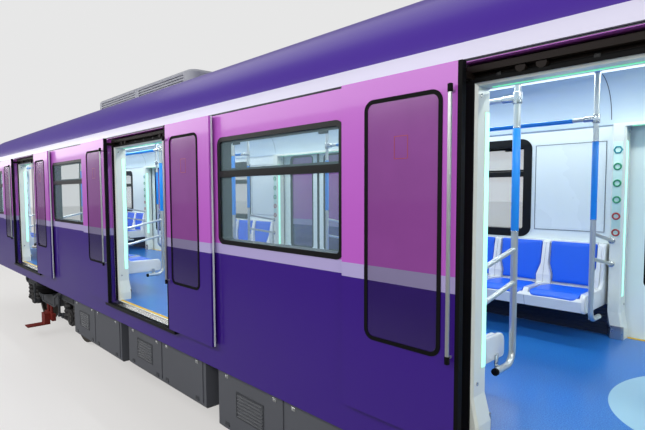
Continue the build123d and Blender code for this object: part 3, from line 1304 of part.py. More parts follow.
def collector(x, side):
    """A current collector: a beam under the side beam, two insulators, an arm and the shoe that reaches out."""
    outer = FRAME_Y + FRAME_BEAM_WIDTH / 2
    half = COLLECTOR_LENGTH / 2
    inner = outer - COLLECTOR_BEAM_WIDTH
    y0, y1 = sorted((side * inner, side * outer))
    low = FRAME_CENTRE_TOP - FRAME_BEAM_HEIGHT
    beam_half = COLLECTOR_BEAM_HALF / 2
    beam_low = COLLECTOR_BEAM_Z - COLLECTOR_BEAM_WIDTH
    beam = block(x - beam_half, x + beam_half, y0, y1, beam_low, COLLECTOR_BEAM_Z + COLLECTOR_BEAM_WIDTH)
    for hand in LEAF_HANDS:
        beam += cylinder_z(x + hand * half, (y0 + y1) / 2, COLLECTOR_INSULATOR / 2, COLLECTOR_BEAM_Z, low)
    y0, y1 = sorted((side * outer, side * (outer + COLLECTOR_ARM)))
    shoe_low = COLLECTOR_Z - COLLECTOR_SHOE
    beam += block(x - half, x + half, y0, y1, shoe_low, COLLECTOR_BEAM_Z + COLLECTOR_BEAM_WIDTH)
    y0, y1 = sorted((side * (outer + COLLECTOR_BEAM_WIDTH), side * COLLECTOR_TIP))
    return beam + block(x - half, x + half, y0, y1, shoe_low, COLLECTOR_Z)


# Write every sub-part

save("roof_shell", [roof_shell()])
save("side_wall_near", [side_wall(-1)])
save("side_wall_far", [side_wall(1)])
save("end_walls", [end_wall(end) for end in ENDS])
save("roof_units", [roof_unit(end * ROOF_UNIT_CENTRE) for end in ENDS])
save("window_frames", [window_frame(side, x, width) for side in SIDES for x, width in WINDOWS])
panes = []
for side in SIDES:
    for x, width in WINDOWS:
        panes += window_panes(side, x, width)
save("window_glass", panes)

leaves = [(kind, door, hand) for kind in LEAF_SETS for door in DOOR_CENTRES for hand in LEAF_HANDS]
rubbers = []
for leaf in leaves:
    rubbers += door_rubber(*leaf)
rubbers += [portal_seal(side, door) for side in SIDES for door in DOOR_CENTRES]
save("door_leaves", [door_leaf(*leaf) for leaf in leaves])
save("door_rubbers", rubbers)
save("door_glass", [door_pane(*leaf) for leaf in leaves])
save("door_bars", [door_bar(*leaf) for leaf in leaves])
save("door_gear", [door_gear(kind, door) for kind in LEAF_SETS for door in DOOR_CENTRES])
save("door_portals", [door_portal(side, door) for side in SIDES for door in DOOR_CENTRES])
save("thresholds", [threshold(side, door) for side in SIDES for door in DOOR_CENTRES])
save("door_sills", [sill(side, door) for side in SIDES for door in DOOR_CENTRES])

inner_x = HALF_LENGTH - END_WALL
save("floor", [block(-inner_x, inner_x, -INNER_Y, INNER_Y, FLOOR_UNDERSIDE, FLOOR_TOP)])
save("ceiling_liner", ceiling_liner())
save("ceiling_lights", [ceiling_light(side) for side in SIDES])

shells = []
panels = []
pads = []
posts = []
rails = []
for side in SIDES:
    for start, seats, hands in BENCHES:
        shells.append(bench_shell(side, start, seats))
        panels += bench_ends(side, start, seats)
        pads += seat_pads(side, start, seats)
        rails.append(overhead_rail(side, start, seats, hands))
    for door in DOOR_CENTRES:
        for hand in LEAF_HANDS:
            posts.append(stanchion(side, door + hand * STANCHION_OFFSET))
            rails += side_bars(side, door + hand * STANCHION_OFFSET)
save("bench_shells", shells)
save("bench_ends", panels)
save("seat_pads", pads)
save("stanchions", posts)
save("handrails", rails)

save("gangway_frames", [ring for end in ENDS for ring in gangway_frame(end)])
save("gangway_bellows", [gangway_bellows(end) for end in ENDS])
save("sole_bars", sole_bars())
save("cross_members", cross_members())
save("bolsters", [bolster(end) for end in ENDS])
save("equipment_boxes", [equipment_box(*case) for case in EQUIPMENT])
save("compressor", [compressor()])
save("air_reservoirs", [air_reservoir(place * BAY) for place in RESERVOIR_MEMBERS])
save("coupler_brackets", [piece for end in ENDS for piece in coupler_bracket(end)])

# name, end of the car
BOGIES = [("a", -1), ("b", 1)]
for name, end in BOGIES:
    centre = end * BOGIE_CENTRE
    save(f"coupler_{name}", [coupler(end)])
    save(f"bogie_{name}_frame", [bogie_frame(centre)])
    save(f"bogie_{name}_air_springs", [air_spring(centre, side) for side in SIDES])
    axles = [centre - WHEELBASE / 2, centre + WHEELBASE / 2]
    save(f"bogie_{name}_axleboxes", [axlebox(x, side) for x in axles for side in SIDES])
    save(f"bogie_{name}_drives", [drive(centre, direction) for direction in (-1, 1)])
    save(
        f"bogie_{name}_brakes",
        [brake_unit(centre, direction, side) for direction in (-1, 1) for side in SIDES],
    )
    save(f"bogie_{name}_collectors", [collector(centre, side) for side in SIDES])
    for number, x in enumerate(axles, start=1):
        save(f"wheelset_{name}{number}", [wheelset(x)])
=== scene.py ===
import math

import bmesh
import bpy
from mathutils import Matrix, Vector


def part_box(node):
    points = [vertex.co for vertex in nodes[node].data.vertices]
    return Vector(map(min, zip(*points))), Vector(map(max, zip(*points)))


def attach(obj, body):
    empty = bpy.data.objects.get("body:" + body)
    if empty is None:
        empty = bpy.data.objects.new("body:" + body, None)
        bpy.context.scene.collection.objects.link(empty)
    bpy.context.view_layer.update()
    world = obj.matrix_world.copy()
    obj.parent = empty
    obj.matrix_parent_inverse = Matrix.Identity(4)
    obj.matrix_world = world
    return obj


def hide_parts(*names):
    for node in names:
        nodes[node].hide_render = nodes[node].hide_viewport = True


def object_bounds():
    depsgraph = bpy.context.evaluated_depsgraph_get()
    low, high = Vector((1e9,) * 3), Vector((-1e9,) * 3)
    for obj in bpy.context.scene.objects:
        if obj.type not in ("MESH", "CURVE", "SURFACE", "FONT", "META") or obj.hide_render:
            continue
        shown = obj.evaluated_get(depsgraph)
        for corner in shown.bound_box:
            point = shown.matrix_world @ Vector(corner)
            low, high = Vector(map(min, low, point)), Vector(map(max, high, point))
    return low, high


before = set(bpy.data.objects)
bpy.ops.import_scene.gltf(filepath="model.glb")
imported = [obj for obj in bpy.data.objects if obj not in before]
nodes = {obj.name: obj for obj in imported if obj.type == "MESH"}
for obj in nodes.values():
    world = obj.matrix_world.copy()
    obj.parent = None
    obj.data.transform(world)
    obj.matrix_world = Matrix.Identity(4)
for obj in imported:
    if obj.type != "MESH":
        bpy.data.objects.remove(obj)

cad_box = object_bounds()

# The car in metres: X along it, the open doors at -Y, Z up from the wheels' flange tips.

# Places read from the frame
floor_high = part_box("floor")[1]
wall_low, wall_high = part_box("side_wall_near")
FLOOR_Z = floor_high[2]
SIDE_Y = -wall_low[1]
INNER_Y = floor_high[1]
BODY_END = wall_high[0]

# Places that repeat along the car
DOOR_PITCH = 4.28
DOORS = [(i - 1.5) * DOOR_PITCH for i in range(4)]
SIDES = (-1, 1)
HANDS = (-1, 1)
ENDS = (-1, 1)
# centre along X, width
WINDOWS = [(x, 1.325) for x in (-DOOR_PITCH, 0.0, DOOR_PITCH)] + [(end * 8.38, 0.8) for end in ENDS]

# Doorways: distances along X from a doorway's centre, and depths inside the body's side
REVEAL_HALF = 0.685
JAMB_FACE_X = 0.736
JAMB_DEPTH = 0.190
HEADER_LOW = 2.923
FOOT_FLARE = 0.028
JAMB_FACE_Y = SIDE_Y - JAMB_DEPTH
# side, leaf's outer face along Y, closing edge from the doorway's centre
LEAVES = [(-1, SIDE_Y + 0.060, 0.700), (1, SIDE_Y, 0.001)]

# Handrails
POST_X = 0.760
POST_Y = 0.678
POST_RADIUS = 0.019
POST_FOOT = 1.410
POST_FOOT_Y = 0.828
RAIL_Z = 2.945
RAIL_RADIUS = 0.016
SIDE_BAR_FEET = (1.800, 1.993)
CEILING_Z = 3.330

# Benches: first X and number of seats
BENCH_INSET = 0.830
SEAT_PITCH = (DOOR_PITCH - 2 * BENCH_INSET) / 6
BENCHES = [(DOORS[i] + BENCH_INSET, 6) for i in range(3)]
BENCHES += [(DOORS[3] + BENCH_INSET, 3), (DOORS[0] - BENCH_INSET - 3 * SEAT_PITCH, 3)]
SEAT_TOP = FLOOR_Z + 0.375
SEAT_FRONT = 0.700
BACK_TOP = 1.960
BACK_LEAN = 0.063
BACK_FOOT_Y = INNER_Y - 0.045 - BACK_LEAN
BACK_SLOPE = BACK_LEAN / (BACK_TOP - SEAT_TOP)
END_THICK = 0.028
RIB_PROUD = 0.034
RIB_HALF = 0.028
HIP_HALF = 0.058
PAD_THICK = 0.030
PAD_SWELL = 0.006
COVER_REACH = 0.090

# Bogies
BOGIES = {"a": -6.3, "b": 6.3}
AXLE_Z = 0.458
AXLE_SHIFT = 1.05

# Underframe: spacing of the cross members, and each case's first and last member, side and depth
BAY = 0.900
CASE_TOP = 0.960
CASES = [
    (-5, -3, -1, 0.520), (-3, -1, -1, 0.470), (-1, 2, -1, 0.540), (2, 5, -1, 0.500),
    (-5, -2, 1, 0.540), (-2, 0, 1, 0.480), (2, 5, 1, 0.520),
]

# Ends
GANGWAY_FACE = 9.550

# Roof
ROOF_TOP = 3.655
ROOF_CROWN = 4.000
ROOF_UNIT_X = 3.21
ROOF_UNIT_TOP = 3.725
ROOF_FAN_SHIFT = 0.525

# Livery heights
STRIPE_LOW = 1.928
STRIPE_HIGH = 2.010
GUTTER_LOW = 3.030
GUTTER_HIGH = 3.040
CANTRAIL_SEAM = 3.075
CANTRAIL_HIGH = 3.116


def paint(red, green, blue):
    """A colour picked on the 0 to 255 scale, as the linear values that shaders take."""
    linear = []
    for channel in (red, green, blue):
        share = channel / 255
        linear.append(share / 12.92 if share <= 0.04045 else ((share + 0.055) / 1.055) ** 2.4)
    return (*linear, 1.0)


VIOLET = paint(58, 18, 134)
LAVENDER = paint(186, 174, 222)
MAGENTA = paint(196, 98, 206)
GUTTER = paint(26, 14, 52)
CANTRAIL = paint(222, 218, 240)
ROOF_VIOLET = paint(72, 38, 150)
SEAM = paint(120, 112, 150)
LINING = paint(234, 242, 240)
END_PAINT = paint(44, 28, 84)
BOARD_GREY = paint(70, 72, 76)


# Nodes


def wire(tree, node, inputs):
    """A value, or another node's output to link, for each named input."""
    for name, value in inputs.items():
        if isinstance(value, bpy.types.NodeSocket):
            tree.links.new(value, node.inputs[name])
        else:
            node.inputs[name].default_value = value


def put(tree, kind, inputs=None, **settings):
    """A new node with its settings and inputs."""
    node = tree.nodes.new(f"ShaderNode{kind}")
    for name, value in settings.items():
        setattr(node, name, value)
    wire(tree, node, inputs or {})
    return node


def maths(tree, operation, *values):
    """The output of a sum on values or outputs."""
    return put(tree, "Math", dict(enumerate(values)), operation=operation).outputs[0]


def object_place(tree):
    """The place on the object."""
    return put(tree, "TexCoord").outputs["Object"]


def object_parts(tree):
    """X, Y and Z of the place on the object."""
    return put(tree, "SeparateXYZ", {0: object_place(tree)}).outputs


def mixed(tree, share, first, second):
    """Two colours mixed by a share."""
    return put(tree, "Mix", {"Factor": share, "A": first, "B": second}, data_type="RGBA").outputs["Result"]


# Shared effects


def new_group(name, inputs, outputs):
    """A node group with its named sockets, what it is given, and its end node."""
    group = bpy.data.node_groups.new(name, "ShaderNodeTree")
    for socket, value in inputs.items():
        kind = "NodeSocketFloat" if isinstance(value, float) else "NodeSocketColor"
        group.interface.new_socket(name=socket, in_out="INPUT", socket_type=kind).default_value = value
    for socket, kind in outputs.items():
        group.interface.new_socket(name=socket, in_out="OUTPUT", socket_type=f"NodeSocket{kind}")
    return group, group.nodes.new("NodeGroupInput").outputs, group.nodes.new("NodeGroupOutput")


def make_unevenness():
    """Soft cloudiness and fine grain, for any painted, moulded or cast surface."""
    inputs = {
        "Colour": (0.5, 0.5, 0.5, 1.0), "Shade": 0.08, "Cloud Scale": 1.5, "Grain Scale": 300.0,
        "Roughness": 0.4,
    }
    outputs = {"Colour": "Color", "Roughness": "Float", "Height": "Float"}
    group, given, end = new_group("unevenness", inputs, outputs)
    place = object_place(group)
    cloud = put(group, "TexNoise", {"Vector": place, "Scale": given["Cloud Scale"], "Detail": 4.0})
    grain = put(group, "TexNoise", {"Vector": place, "Scale": given["Grain Scale"], "Detail": 2.0})
    centred = maths(group, "SUBTRACT", cloud.outputs["Fac"], 0.5)
    change = maths(group, "MULTIPLY_ADD", centred, given["Shade"], 1.0)
    tint = put(group, "VectorMath", operation="SCALE")
    wire(group, tint, {0: given["Colour"], "Scale": change})
    rough = maths(group, "MULTIPLY_ADD", centred, 0.12, given["Roughness"])
    wire(group, end, {"Colour": tint.outputs[0], "Roughness": rough, "Height": grain.outputs["Fac"]})
    return group


def make_bands():
    """The livery by height: skirt, stripe, upper wall, gutter, cantrail and roof."""
    group, _, end = new_group("livery_bands", {}, {"Colour": "Color"})
    parts = object_parts(group)
    low, high = 0.9, 3.9
    spread = put(group, "MapRange", {"From Min": low, "From Max": high, "Value": parts["Z"]})
    ramp = put(group, "ValToRGB", {0: spread.outputs[0]})
    ramp.color_ramp.interpolation = "CONSTANT"
    elements = ramp.color_ramp.elements
    elements[0].color = VIOLET
    elements.remove(elements[1])
    stops = [
        (STRIPE_LOW, LAVENDER), (STRIPE_HIGH, MAGENTA), (GUTTER_LOW, GUTTER), (GUTTER_HIGH, CANTRAIL),
        (CANTRAIL_SEAM, SEAM), (CANTRAIL_SEAM + 0.004, CANTRAIL), (CANTRAIL_HIGH, ROOF_VIOLET),
    ]
    for height, colour in stops:
        elements.new((height - low) / (high - low)).color = colour
    wire(group, end, {"Colour": ramp.outputs[0]})
    return group


def make_inner_face():
    """A mask that is 1 on faces nearer the car's middle than the given half widths."""
    inputs = {"Near Half Width": 1.3, "Far Half Width": 1.3}
    group, given, end = new_group("inner_face", inputs, {"Mask": "Float"})
    parts = object_parts(group)
    near = maths(group, "GREATER_THAN", parts["Y"], maths(group, "MULTIPLY", given["Near Half Width"], -1.0))
    far = maths(group, "LESS_THAN", parts["Y"], given["Far Half Width"])
    wire(group, end, {"Mask": maths(group, "MULTIPLY", near, far)})
    return group


UNEVENNESS = make_unevenness()
BANDS = make_bands()
INNER_FACE = make_inner_face()


# Materials


def start_material(name, values):
    """A material, its node tree and its shader, with plain values on the shader's own sockets."""
    material = bpy.data.materials.new(name)
    material.use_nodes = True
    tree = material.node_tree
    shader = tree.nodes["Principled BSDF"]
    wire(tree, shader, {"Coat Roughness": 0.06, **values})
    return material, tree, shader


def uneven_coat(tree, shader, values, relief=0.0, distance=0.0006, height=None):
    """The shared unevenness on the shader's colour and roughness, with relief from its grain or a height."""
    uneven = put(tree, "Group", values, node_tree=UNEVENNESS).outputs
    wire(tree, shader, {"Base Color": uneven["Colour"], "Roughness": uneven["Roughness"]})
    if relief:
        values = {"Strength": relief, "Distance": distance, "Height": height or uneven["Height"]}
        wire(tree, shader, {"Normal": put(tree, "Bump", values).outputs[0]})
    return uneven


def plain_finish(
    name, colour, roughness, metallic=0.0, coat=0.0, shade=0.1, cloud=1.5, grain=300.0, relief=0.1, gloss=0.5
):
    """Paint, moulded plastic, cast or bare metal with the shared unevenness."""
    values = {"Metallic": metallic, "Coat Weight": coat, "Specular IOR Level": gloss}
    material, tree, shader = start_material(name, values)
    uneven_coat(tree, shader, {
        "Colour": colour, "Shade": shade, "Cloud Scale": cloud, "Grain Scale": grain, "Roughness": roughness,
    }, relief)
    return material


def livery_finish(name, near_half, far_half, coat=0.35):
    """Glossy livery paint outside and pale lining on the faces inside the given half widths."""
    material, tree, shader = start_material(name, {"Coat Weight": coat, "Specular IOR Level": 0.4})
    widths = {"Near Half Width": near_half, "Far Half Width": far_half}
    mask = put(tree, "Group", widths, node_tree=INNER_FACE).outputs["Mask"]
    bands = put(tree, "Group", node_tree=BANDS).outputs["Colour"]
    uneven_coat(tree, shader, {
        "Colour": mixed(tree, mask, bands, LINING), "Shade": 0.06, "Cloud Scale": 0.8, "Grain Scale": 90.0,
        "Roughness": 0.32,
    }, 0.05, 0.0005)
    return material


def end_finish(name):
    """Dark paint on the outer faces of the car's ends and pale lining on their inner faces."""
    material, tree, shader = start_material(name, {"Coat Weight": 0.3})
    parts = object_parts(tree)
    outer = maths(tree, "GREATER_THAN", maths(tree, "ABSOLUTE", parts["X"]), BODY_END - 0.01)
    uneven_coat(tree, shader, {
        "Colour": mixed(tree, outer, LINING, END_PAINT), "Shade": 0.12, "Cloud Scale": 2.0,
        "Grain Scale": 160.0, "Roughness": 0.42,
    }, 0.1)
    return material


def glow_finish(name, colour, strength):
    """A lit lens, a little uneven along its length."""
    material, tree, shader = start_material(name, {"Emission Strength": strength})
    values = {"Colour": colour, "Shade": 0.12, "Cloud Scale": 3.0, "Roughness": 0.3}
    uneven = uneven_coat(tree, shader, values)
    wire(tree, shader, {"Emission Color": uneven["Colour"]})
    return material


def glass_finish(name, colour, alpha):
    """Clear glass as a thin tinted skin with a sharp reflection."""
    material, tree, shader = start_material(name, {"Roughness": 0.03, "IOR": 1.5, "Alpha": alpha})
    values = {"Colour": colour, "Shade": 0.15, "Cloud Scale": 1.2}
    uneven = put(tree, "Group", values, node_tree=UNEVENNESS)
    wire(tree, shader, {"Base Color": uneven.outputs["Colour"]})
    return material


def film_finish(name):
    """Leaf glass under a printed film that carries the livery across it, darker than the paint."""
    material, tree, shader = start_material(name, {"Coat Weight": 1.0, "Alpha": 0.88})
    bands = put(tree, "Group", node_tree=BANDS).outputs["Colour"]
    dim = put(tree, "VectorMath", operation="SCALE")
    wire(tree, dim, {0: bands, "Scale": 0.55})
    uneven_coat(tree, shader, {
        "Colour": dim.outputs[0], "Shade": 0.35, "Cloud Scale": 2.2, "Grain Scale": 500.0, "Roughness": 0.2,
    })
    return material


def floor_finish(name):
    """Blue speckled flooring, a pale ellipse inside each pair of doorways, bare board on the underside."""
    material, tree, shader = start_material(name, {"Coat Weight": 0.08, "Roughness": 0.28})
    parts = object_parts(tree)
    noise = {"Scale": 150.0, "Detail": 2.0, "Vector": object_place(tree)}
    speckle = put(tree, "TexNoise", noise).outputs["Fac"]
    ramp = put(tree, "ValToRGB", {0: speckle})
    speckles = [(0.35, paint(0, 78, 176)), (0.70, paint(64, 144, 206))]
    for element, (position, colour) in zip(ramp.color_ramp.elements, speckles):
        element.position = position
        element.color = colour
    wrapped = maths(tree, "PINGPONG", parts["X"], DOOR_PITCH / 2)
    along = maths(tree, "SUBTRACT", wrapped, DOOR_PITCH / 2)
    # the ellipse's half sizes
    halves = [(along, 0.42), (parts["Y"], 0.62)]
    squares = [maths(tree, "POWER", maths(tree, "DIVIDE", value, half), 2.0) for value, half in halves]
    within = maths(tree, "LESS_THAN", maths(tree, "ADD", *squares), 1.0)
    top = mixed(tree, within, ramp.outputs[0], paint(158, 196, 214))
    below = maths(tree, "LESS_THAN", parts["Z"], FLOOR_Z - 0.003)
    wire(tree, shader, {"Base Color": mixed(tree, below, top, BOARD_GREY)})
    bump = put(tree, "Bump", {"Strength": 0.1, "Distance": 0.0004, "Height": speckle})
    wire(tree, shader, {"Normal": bump.outputs[0]})
    return material


def brushed_finish(name, colour, roughness):
    """Bare steel with fine scratches along Z."""
    material, tree, shader = start_material(name, {"Metallic": 1.0})
    stretch = put(tree, "Mapping", {"Scale": (400.0, 400.0, 12.0), "Vector": object_place(tree)})
    lines = put(tree, "TexNoise", {"Scale": 1.0, "Detail": 3.0, "Vector": stretch.outputs[0]})
    values = {"Colour": colour, "Shade": 0.15, "Cloud Scale": 4.0, "Roughness": roughness}
    uneven_coat(tree, shader, values, 0.08, 0.0003, lines.outputs["Fac"])
    return material


M = {
    "livery": livery_finish("livery_paint", 1.30, 1.30),
    "roof": livery_finish("roof_paint", 0.0, 0.0, coat=0.05),
    "end": end_finish("end_paint"),
    "leaf": livery_finish("leaf_paint", 1.385, 1.325),
    "film": film_finish("leaf_film"),
    "glass": glass_finish("window_pane", paint(150, 178, 186), 0.22),
    "cream": plain_finish("portal_plastic", paint(228, 232, 222), 0.3, coat=0.3, shade=0.05),
    "lining": plain_finish("wall_lining", LINING, 0.28, coat=0.4, shade=0.05),
    "ceiling": plain_finish("ceiling_panel", paint(196, 212, 222), 0.22, coat=0.6, shade=0.05),
    "shell": plain_finish("seat_moulding", paint(226, 228, 228), 0.25, coat=0.5, shade=0.05),
    "pad": plain_finish("seat_leather", paint(8, 96, 226), 0.42, coat=0.1,
        shade=0.10, grain=700.0, relief=0.3),
    "black": plain_finish("black_trim", paint(10, 10, 12), 0.4, shade=0.3, gloss=0.3),
    "rubber": plain_finish("black_rubber", paint(9, 9, 10), 0.7, shade=0.4, relief=0.25, gloss=0.15),
    "gear": plain_finish("door_gear_brown", paint(30, 22, 18), 0.6, shade=0.4, gloss=0.2),
    "grey": plain_finish("frame_paint", paint(66, 68, 72), 0.5, shade=0.25, relief=0.2),
    "case": plain_finish("case_paint", paint(92, 94, 100), 0.45, shade=0.2, relief=0.15),
    "cast": plain_finish("cast_iron", paint(58, 56, 56), 0.62, metallic=0.3,
        shade=0.4, grain=140.0, relief=0.6),
    "roof_unit": plain_finish("roof_unit_paint", paint(150, 152, 160), 0.4, shade=0.15),
    "bellows": plain_finish("gangway_cloth", paint(34, 34, 38), 0.8, shade=0.3, grain=500.0, relief=0.5),
    "red": plain_finish("insulator_red", paint(128, 36, 26), 0.5, shade=0.2),
    "steel": brushed_finish("brushed_steel", paint(188, 188, 186), 0.26),
    "wheel": brushed_finish("turned_steel", paint(120, 112, 104), 0.38),
    "floor": floor_finish("speckled_floor"),
    "lamp": glow_finish("ceiling_lens", paint(236, 242, 246), 1.0),
    "mint": glow_finish("mint_strip", paint(176, 255, 226), 0.85),
    "blue": plain_finish("blue_sleeve", paint(14, 142, 236), 0.35, coat=0.3, shade=0.08),
    "mint_plate": plain_finish("mint_plate_plastic", paint(204, 234, 222), 0.3, coat=0.3, shade=0.05),
    "ring_teal": plain_finish("teal_print", paint(26, 140, 150), 0.35, shade=0.1),
    "ring_green": plain_finish("green_print", paint(52, 150, 104), 0.35, shade=0.1),
    "ring_red": plain_finish("red_print", paint(168, 62, 58), 0.35, shade=0.1),
    "green_line": glow_finish("header_lens", paint(120, 240, 180), 0.8),
    "yellow": plain_finish("yellow_grip", paint(224, 184, 44), 0.5, shade=0.15, relief=0.3),
    "thin_line": plain_finish("joint_line", paint(72, 78, 88), 0.5, shade=0.2),
    "grey_plastic": plain_finish("outlet_plastic", paint(168, 178, 186), 0.4, shade=0.08),
    "navy": plain_finish("heater_cover", paint(20, 34, 58), 0.5, shade=0.2),
    "post_steel": plain_finish("satin_steel", paint(206, 210, 208), 0.34, metallic=0.85,
        shade=0.06, relief=0.02),
    "cast_bolt": plain_finish("plated_bolt", paint(128, 126, 120), 0.4, metallic=0.8, shade=0.3, cloud=9.0),
    "roof_seam": plain_finish("roof_sealant", paint(58, 32, 120), 0.5, shade=0.15),
    "polished": plain_finish("polished_steel", paint(208, 210, 208), 0.26, metallic=0.9,
        shade=0.06, relief=0.02),
}

# node, material
DRESS = {
    "roof_shell": "roof", "side_wall_near": "livery", "side_wall_far": "livery", "end_walls": "end",
    "roof_units": "roof_unit", "window_frames": "black", "window_glass": "glass", "door_leaves": "leaf",
    "door_rubbers": "rubber", "door_glass": "film", "door_bars": "post_steel", "door_gear": "gear",
    "door_portals": "cream", "thresholds": "steel", "door_sills": "black", "floor": "floor",
    "ceiling_liner": "ceiling", "ceiling_lights": "lamp", "bench_shells": "shell", "bench_ends": "shell",
    "seat_pads": "pad", "stanchions": "post_steel", "handrails": "post_steel", "gangway_frames": "steel",
    "gangway_bellows": "bellows", "sole_bars": "grey", "cross_members": "grey", "bolsters": "grey",
    "equipment_boxes": "case", "compressor": "grey", "air_reservoirs": "grey", "coupler_brackets": "grey",
}
for end in "ab":
    DRESS[f"bogie_{end}_frame"] = "grey"
    DRESS[f"bogie_{end}_air_springs"] = "rubber"
    DRESS[f"bogie_{end}_axleboxes"] = "cast"
    DRESS[f"bogie_{end}_drives"] = "grey"
    DRESS[f"bogie_{end}_brakes"] = "cast"
    DRESS[f"bogie_{end}_collectors"] = "red"
    DRESS[f"coupler_{end}"] = "cast"
    for number in "12":
        DRESS[f"wheelset_{end}{number}"] = "wheel"
for name, key in DRESS.items():
    slots = nodes[name].data.materials
    slots.clear()
    slots.append(M[key])


# Making pieces


def deselect():
    """Nothing selected, in object mode."""
    if bpy.context.object and bpy.context.object.mode != "OBJECT":
        bpy.ops.object.mode_set(mode="OBJECT")
    bpy.ops.object.select_all(action="DESELECT")


def only(piece):
    """Only this piece selected and active."""
    deselect()
    piece.select_set(True)
    bpy.context.view_layer.objects.active = piece


def added():
    """The piece just added, with its place, turn and size applied."""
    bpy.ops.object.transform_apply(location=True, rotation=True, scale=True)
    return bpy.context.object


def block(low, high):
    """A box between two corners."""
    deselect()
    bpy.ops.mesh.primitive_cube_add(size=1.0, location=(Vector(low) + Vector(high)) / 2)
    bpy.context.object.scale = [abs(b - a) for a, b in zip(low, high)]
    return added()


def rod(start, run, radius, sides=16):
    """A round bar from its start along a run."""
    deselect()
    run = Vector(run)
    bpy.ops.mesh.primitive_cylinder_add(
        vertices=sides, radius=radius, depth=run.length,
        location=Vector(start) + run / 2, rotation=run.to_track_quat("Z", "Y").to_euler(),
    )
    return added()


def ring(centre, normal, radius, thickness, steps=24, sides=8):
    """A round bar bent to a ring about a direction."""
    deselect()
    bpy.ops.mesh.primitive_torus_add(
        major_radius=radius, minor_radius=thickness / 2, major_segments=steps, minor_segments=sides,
        location=centre, rotation=Vector(normal).to_track_quat("Z", "Y").to_euler(),
    )
    bpy.ops.object.shade_smooth()
    return added()


def sheet(centre, size, turn=0.0):
    """A flat sheet, turned about X."""
    deselect()
    bpy.ops.mesh.primitive_plane_add(size=1.0, location=centre, rotation=(turn, 0.0, 0.0))
    bpy.context.object.scale = (*size, 1.0)
    return added()


def edit(piece, kind="FACE", action="DESELECT"):
    """The piece in edit mode, with nothing or all of it selected."""
    only(piece)
    bpy.ops.object.mode_set(mode="EDIT")
    bpy.ops.mesh.select_mode(type=kind)
    bpy.ops.mesh.select_all(action=action)
    return bmesh.from_edit_mesh(piece.data)


def pick_faces(piece, test):
    """Edit mode with only those faces selected whose centre and normal pass the test."""
    for face in edit(piece, "FACE").faces:
        face.select_set(bool(test(face.calc_center_median(), face.normal)))
    bmesh.update_edit_mesh(piece.data)


def pick_edges(piece, test):
    """Edit mode with only those edges selected whose two ends pass the test."""
    for edge in edit(piece, "EDGE").edges:
        edge.select_set(bool(test(edge.verts[0].co, edge.verts[1].co)))
    bmesh.update_edit_mesh(piece.data)


def round_edges(piece, radius, segments, test):
    """The picked edges rounded."""
    pick_edges(piece, test)
    bpy.ops.mesh.bevel(offset=radius, segments=segments, affect="EDGES")
    deselect()
    return piece


def shift_edges(piece, move, test):
    """The picked edges moved."""
    pick_edges(piece, test)
    bpy.ops.transform.translate(value=move)


def stepped(piece, along, border, rim=0.0, depth=0.0, both=False):
    """The end face towards a direction, or both ends, inset by a border and then raised or sunk."""
    axis = Vector(along).normalized()
    pick_faces(piece, lambda centre, normal: (abs(normal.dot(axis)) if both else normal.dot(axis)) > 0.9)
    bpy.ops.mesh.inset(thickness=border)
    if rim:
        bpy.ops.mesh.inset(thickness=rim, depth=depth)
    deselect()
    return piece


def modified(piece, kind, **settings):
    """A modifier with its settings, applied."""
    only(piece)
    modifier = piece.modifiers.new("change", kind)
    for name, value in settings.items():
        setattr(modifier, name, value)
    bpy.ops.object.modifier_apply(modifier=modifier.name)
    return piece


def soften(piece, width, segments=2):
    """Rounded edges and smooth shading."""
    angle = math.radians(30)
    modified(piece, "BEVEL", width=width, segments=segments, limit_method="ANGLE", angle_limit=angle)
    bpy.ops.object.shade_smooth_by_angle(angle=math.radians(40))
    return piece


def soft_block(low, high, width, segments=2):
    """A box with rounded edges."""
    return soften(block(low, high), width, segments)


def soft_rod(start, run, radius, sides, width, segments=2):
    """A round bar with rounded ends."""
    return soften(rod(start, run, radius, sides), width, segments)


def panel(low, high, along, border, depth):
    """A plate whose face along one axis direction is raised or sunk inside a border."""
    return stepped(block(low, high), along, border, abs(depth) / 2, depth)


def flat_frame(low, high, border, thickness):
    """A thin rectangular outline in the X and Z plane, from the Y of its low corner inwards."""
    centre = ((low[0] + high[0]) / 2, low[1], (low[2] + high[2]) / 2)
    piece = sheet(centre, (high[0] - low[0], high[2] - low[2]), math.pi / 2)
    edit(piece, action="SELECT")
    bpy.ops.mesh.inset(thickness=border)
    bpy.ops.mesh.delete(type="FACE")
    same_side(piece)
    return same_side(modified(piece, "SOLIDIFY", thickness=thickness, offset=0.0))


def same_side(piece):
    """Every face looking outwards."""
    edit(piece, action="SELECT")
    bpy.ops.mesh.normals_make_consistent(inside=False)
    deselect()
    return piece


def cut_at(piece, along, distances):
    """Cuts through the whole piece, square to an axis."""
    for distance in distances:
        edit(piece, action="SELECT")
        bpy.ops.mesh.bisect(plane_co=Vector(along) * distance, plane_no=along)
    deselect()


def joined(name, pieces):
    """Several pieces as one."""
    deselect()
    for piece in pieces:
        piece.select_set(True)
    bpy.context.view_layer.objects.active = pieces[0]
    if len(pieces) > 1:
        bpy.ops.object.join()
    pieces[0].name = name
    return pieces[0]


def own_copy(piece):
    """A copy with its own mesh."""
    copy = piece.copy()
    copy.data = piece.data.copy()
    bpy.context.scene.collection.objects.link(copy)
    return copy


def repeated(name, master, places):
    """Copies of a master, moved to their places and joined."""
    copies = []
    for place in places:
        copy = own_copy(master)
        copy.data.transform(place)
        if place.determinant() < 0:
            copy.data.flip_normals()
        copies.append(copy)
    bpy.data.objects.remove(master)
    return joined(name, copies)


def finish(piece, material, body="car_body"):
    """The piece's material and the body that it moves with."""
    piece.data.materials.clear()
    piece.data.materials.append(M[material])
    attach(piece, body)
    return piece


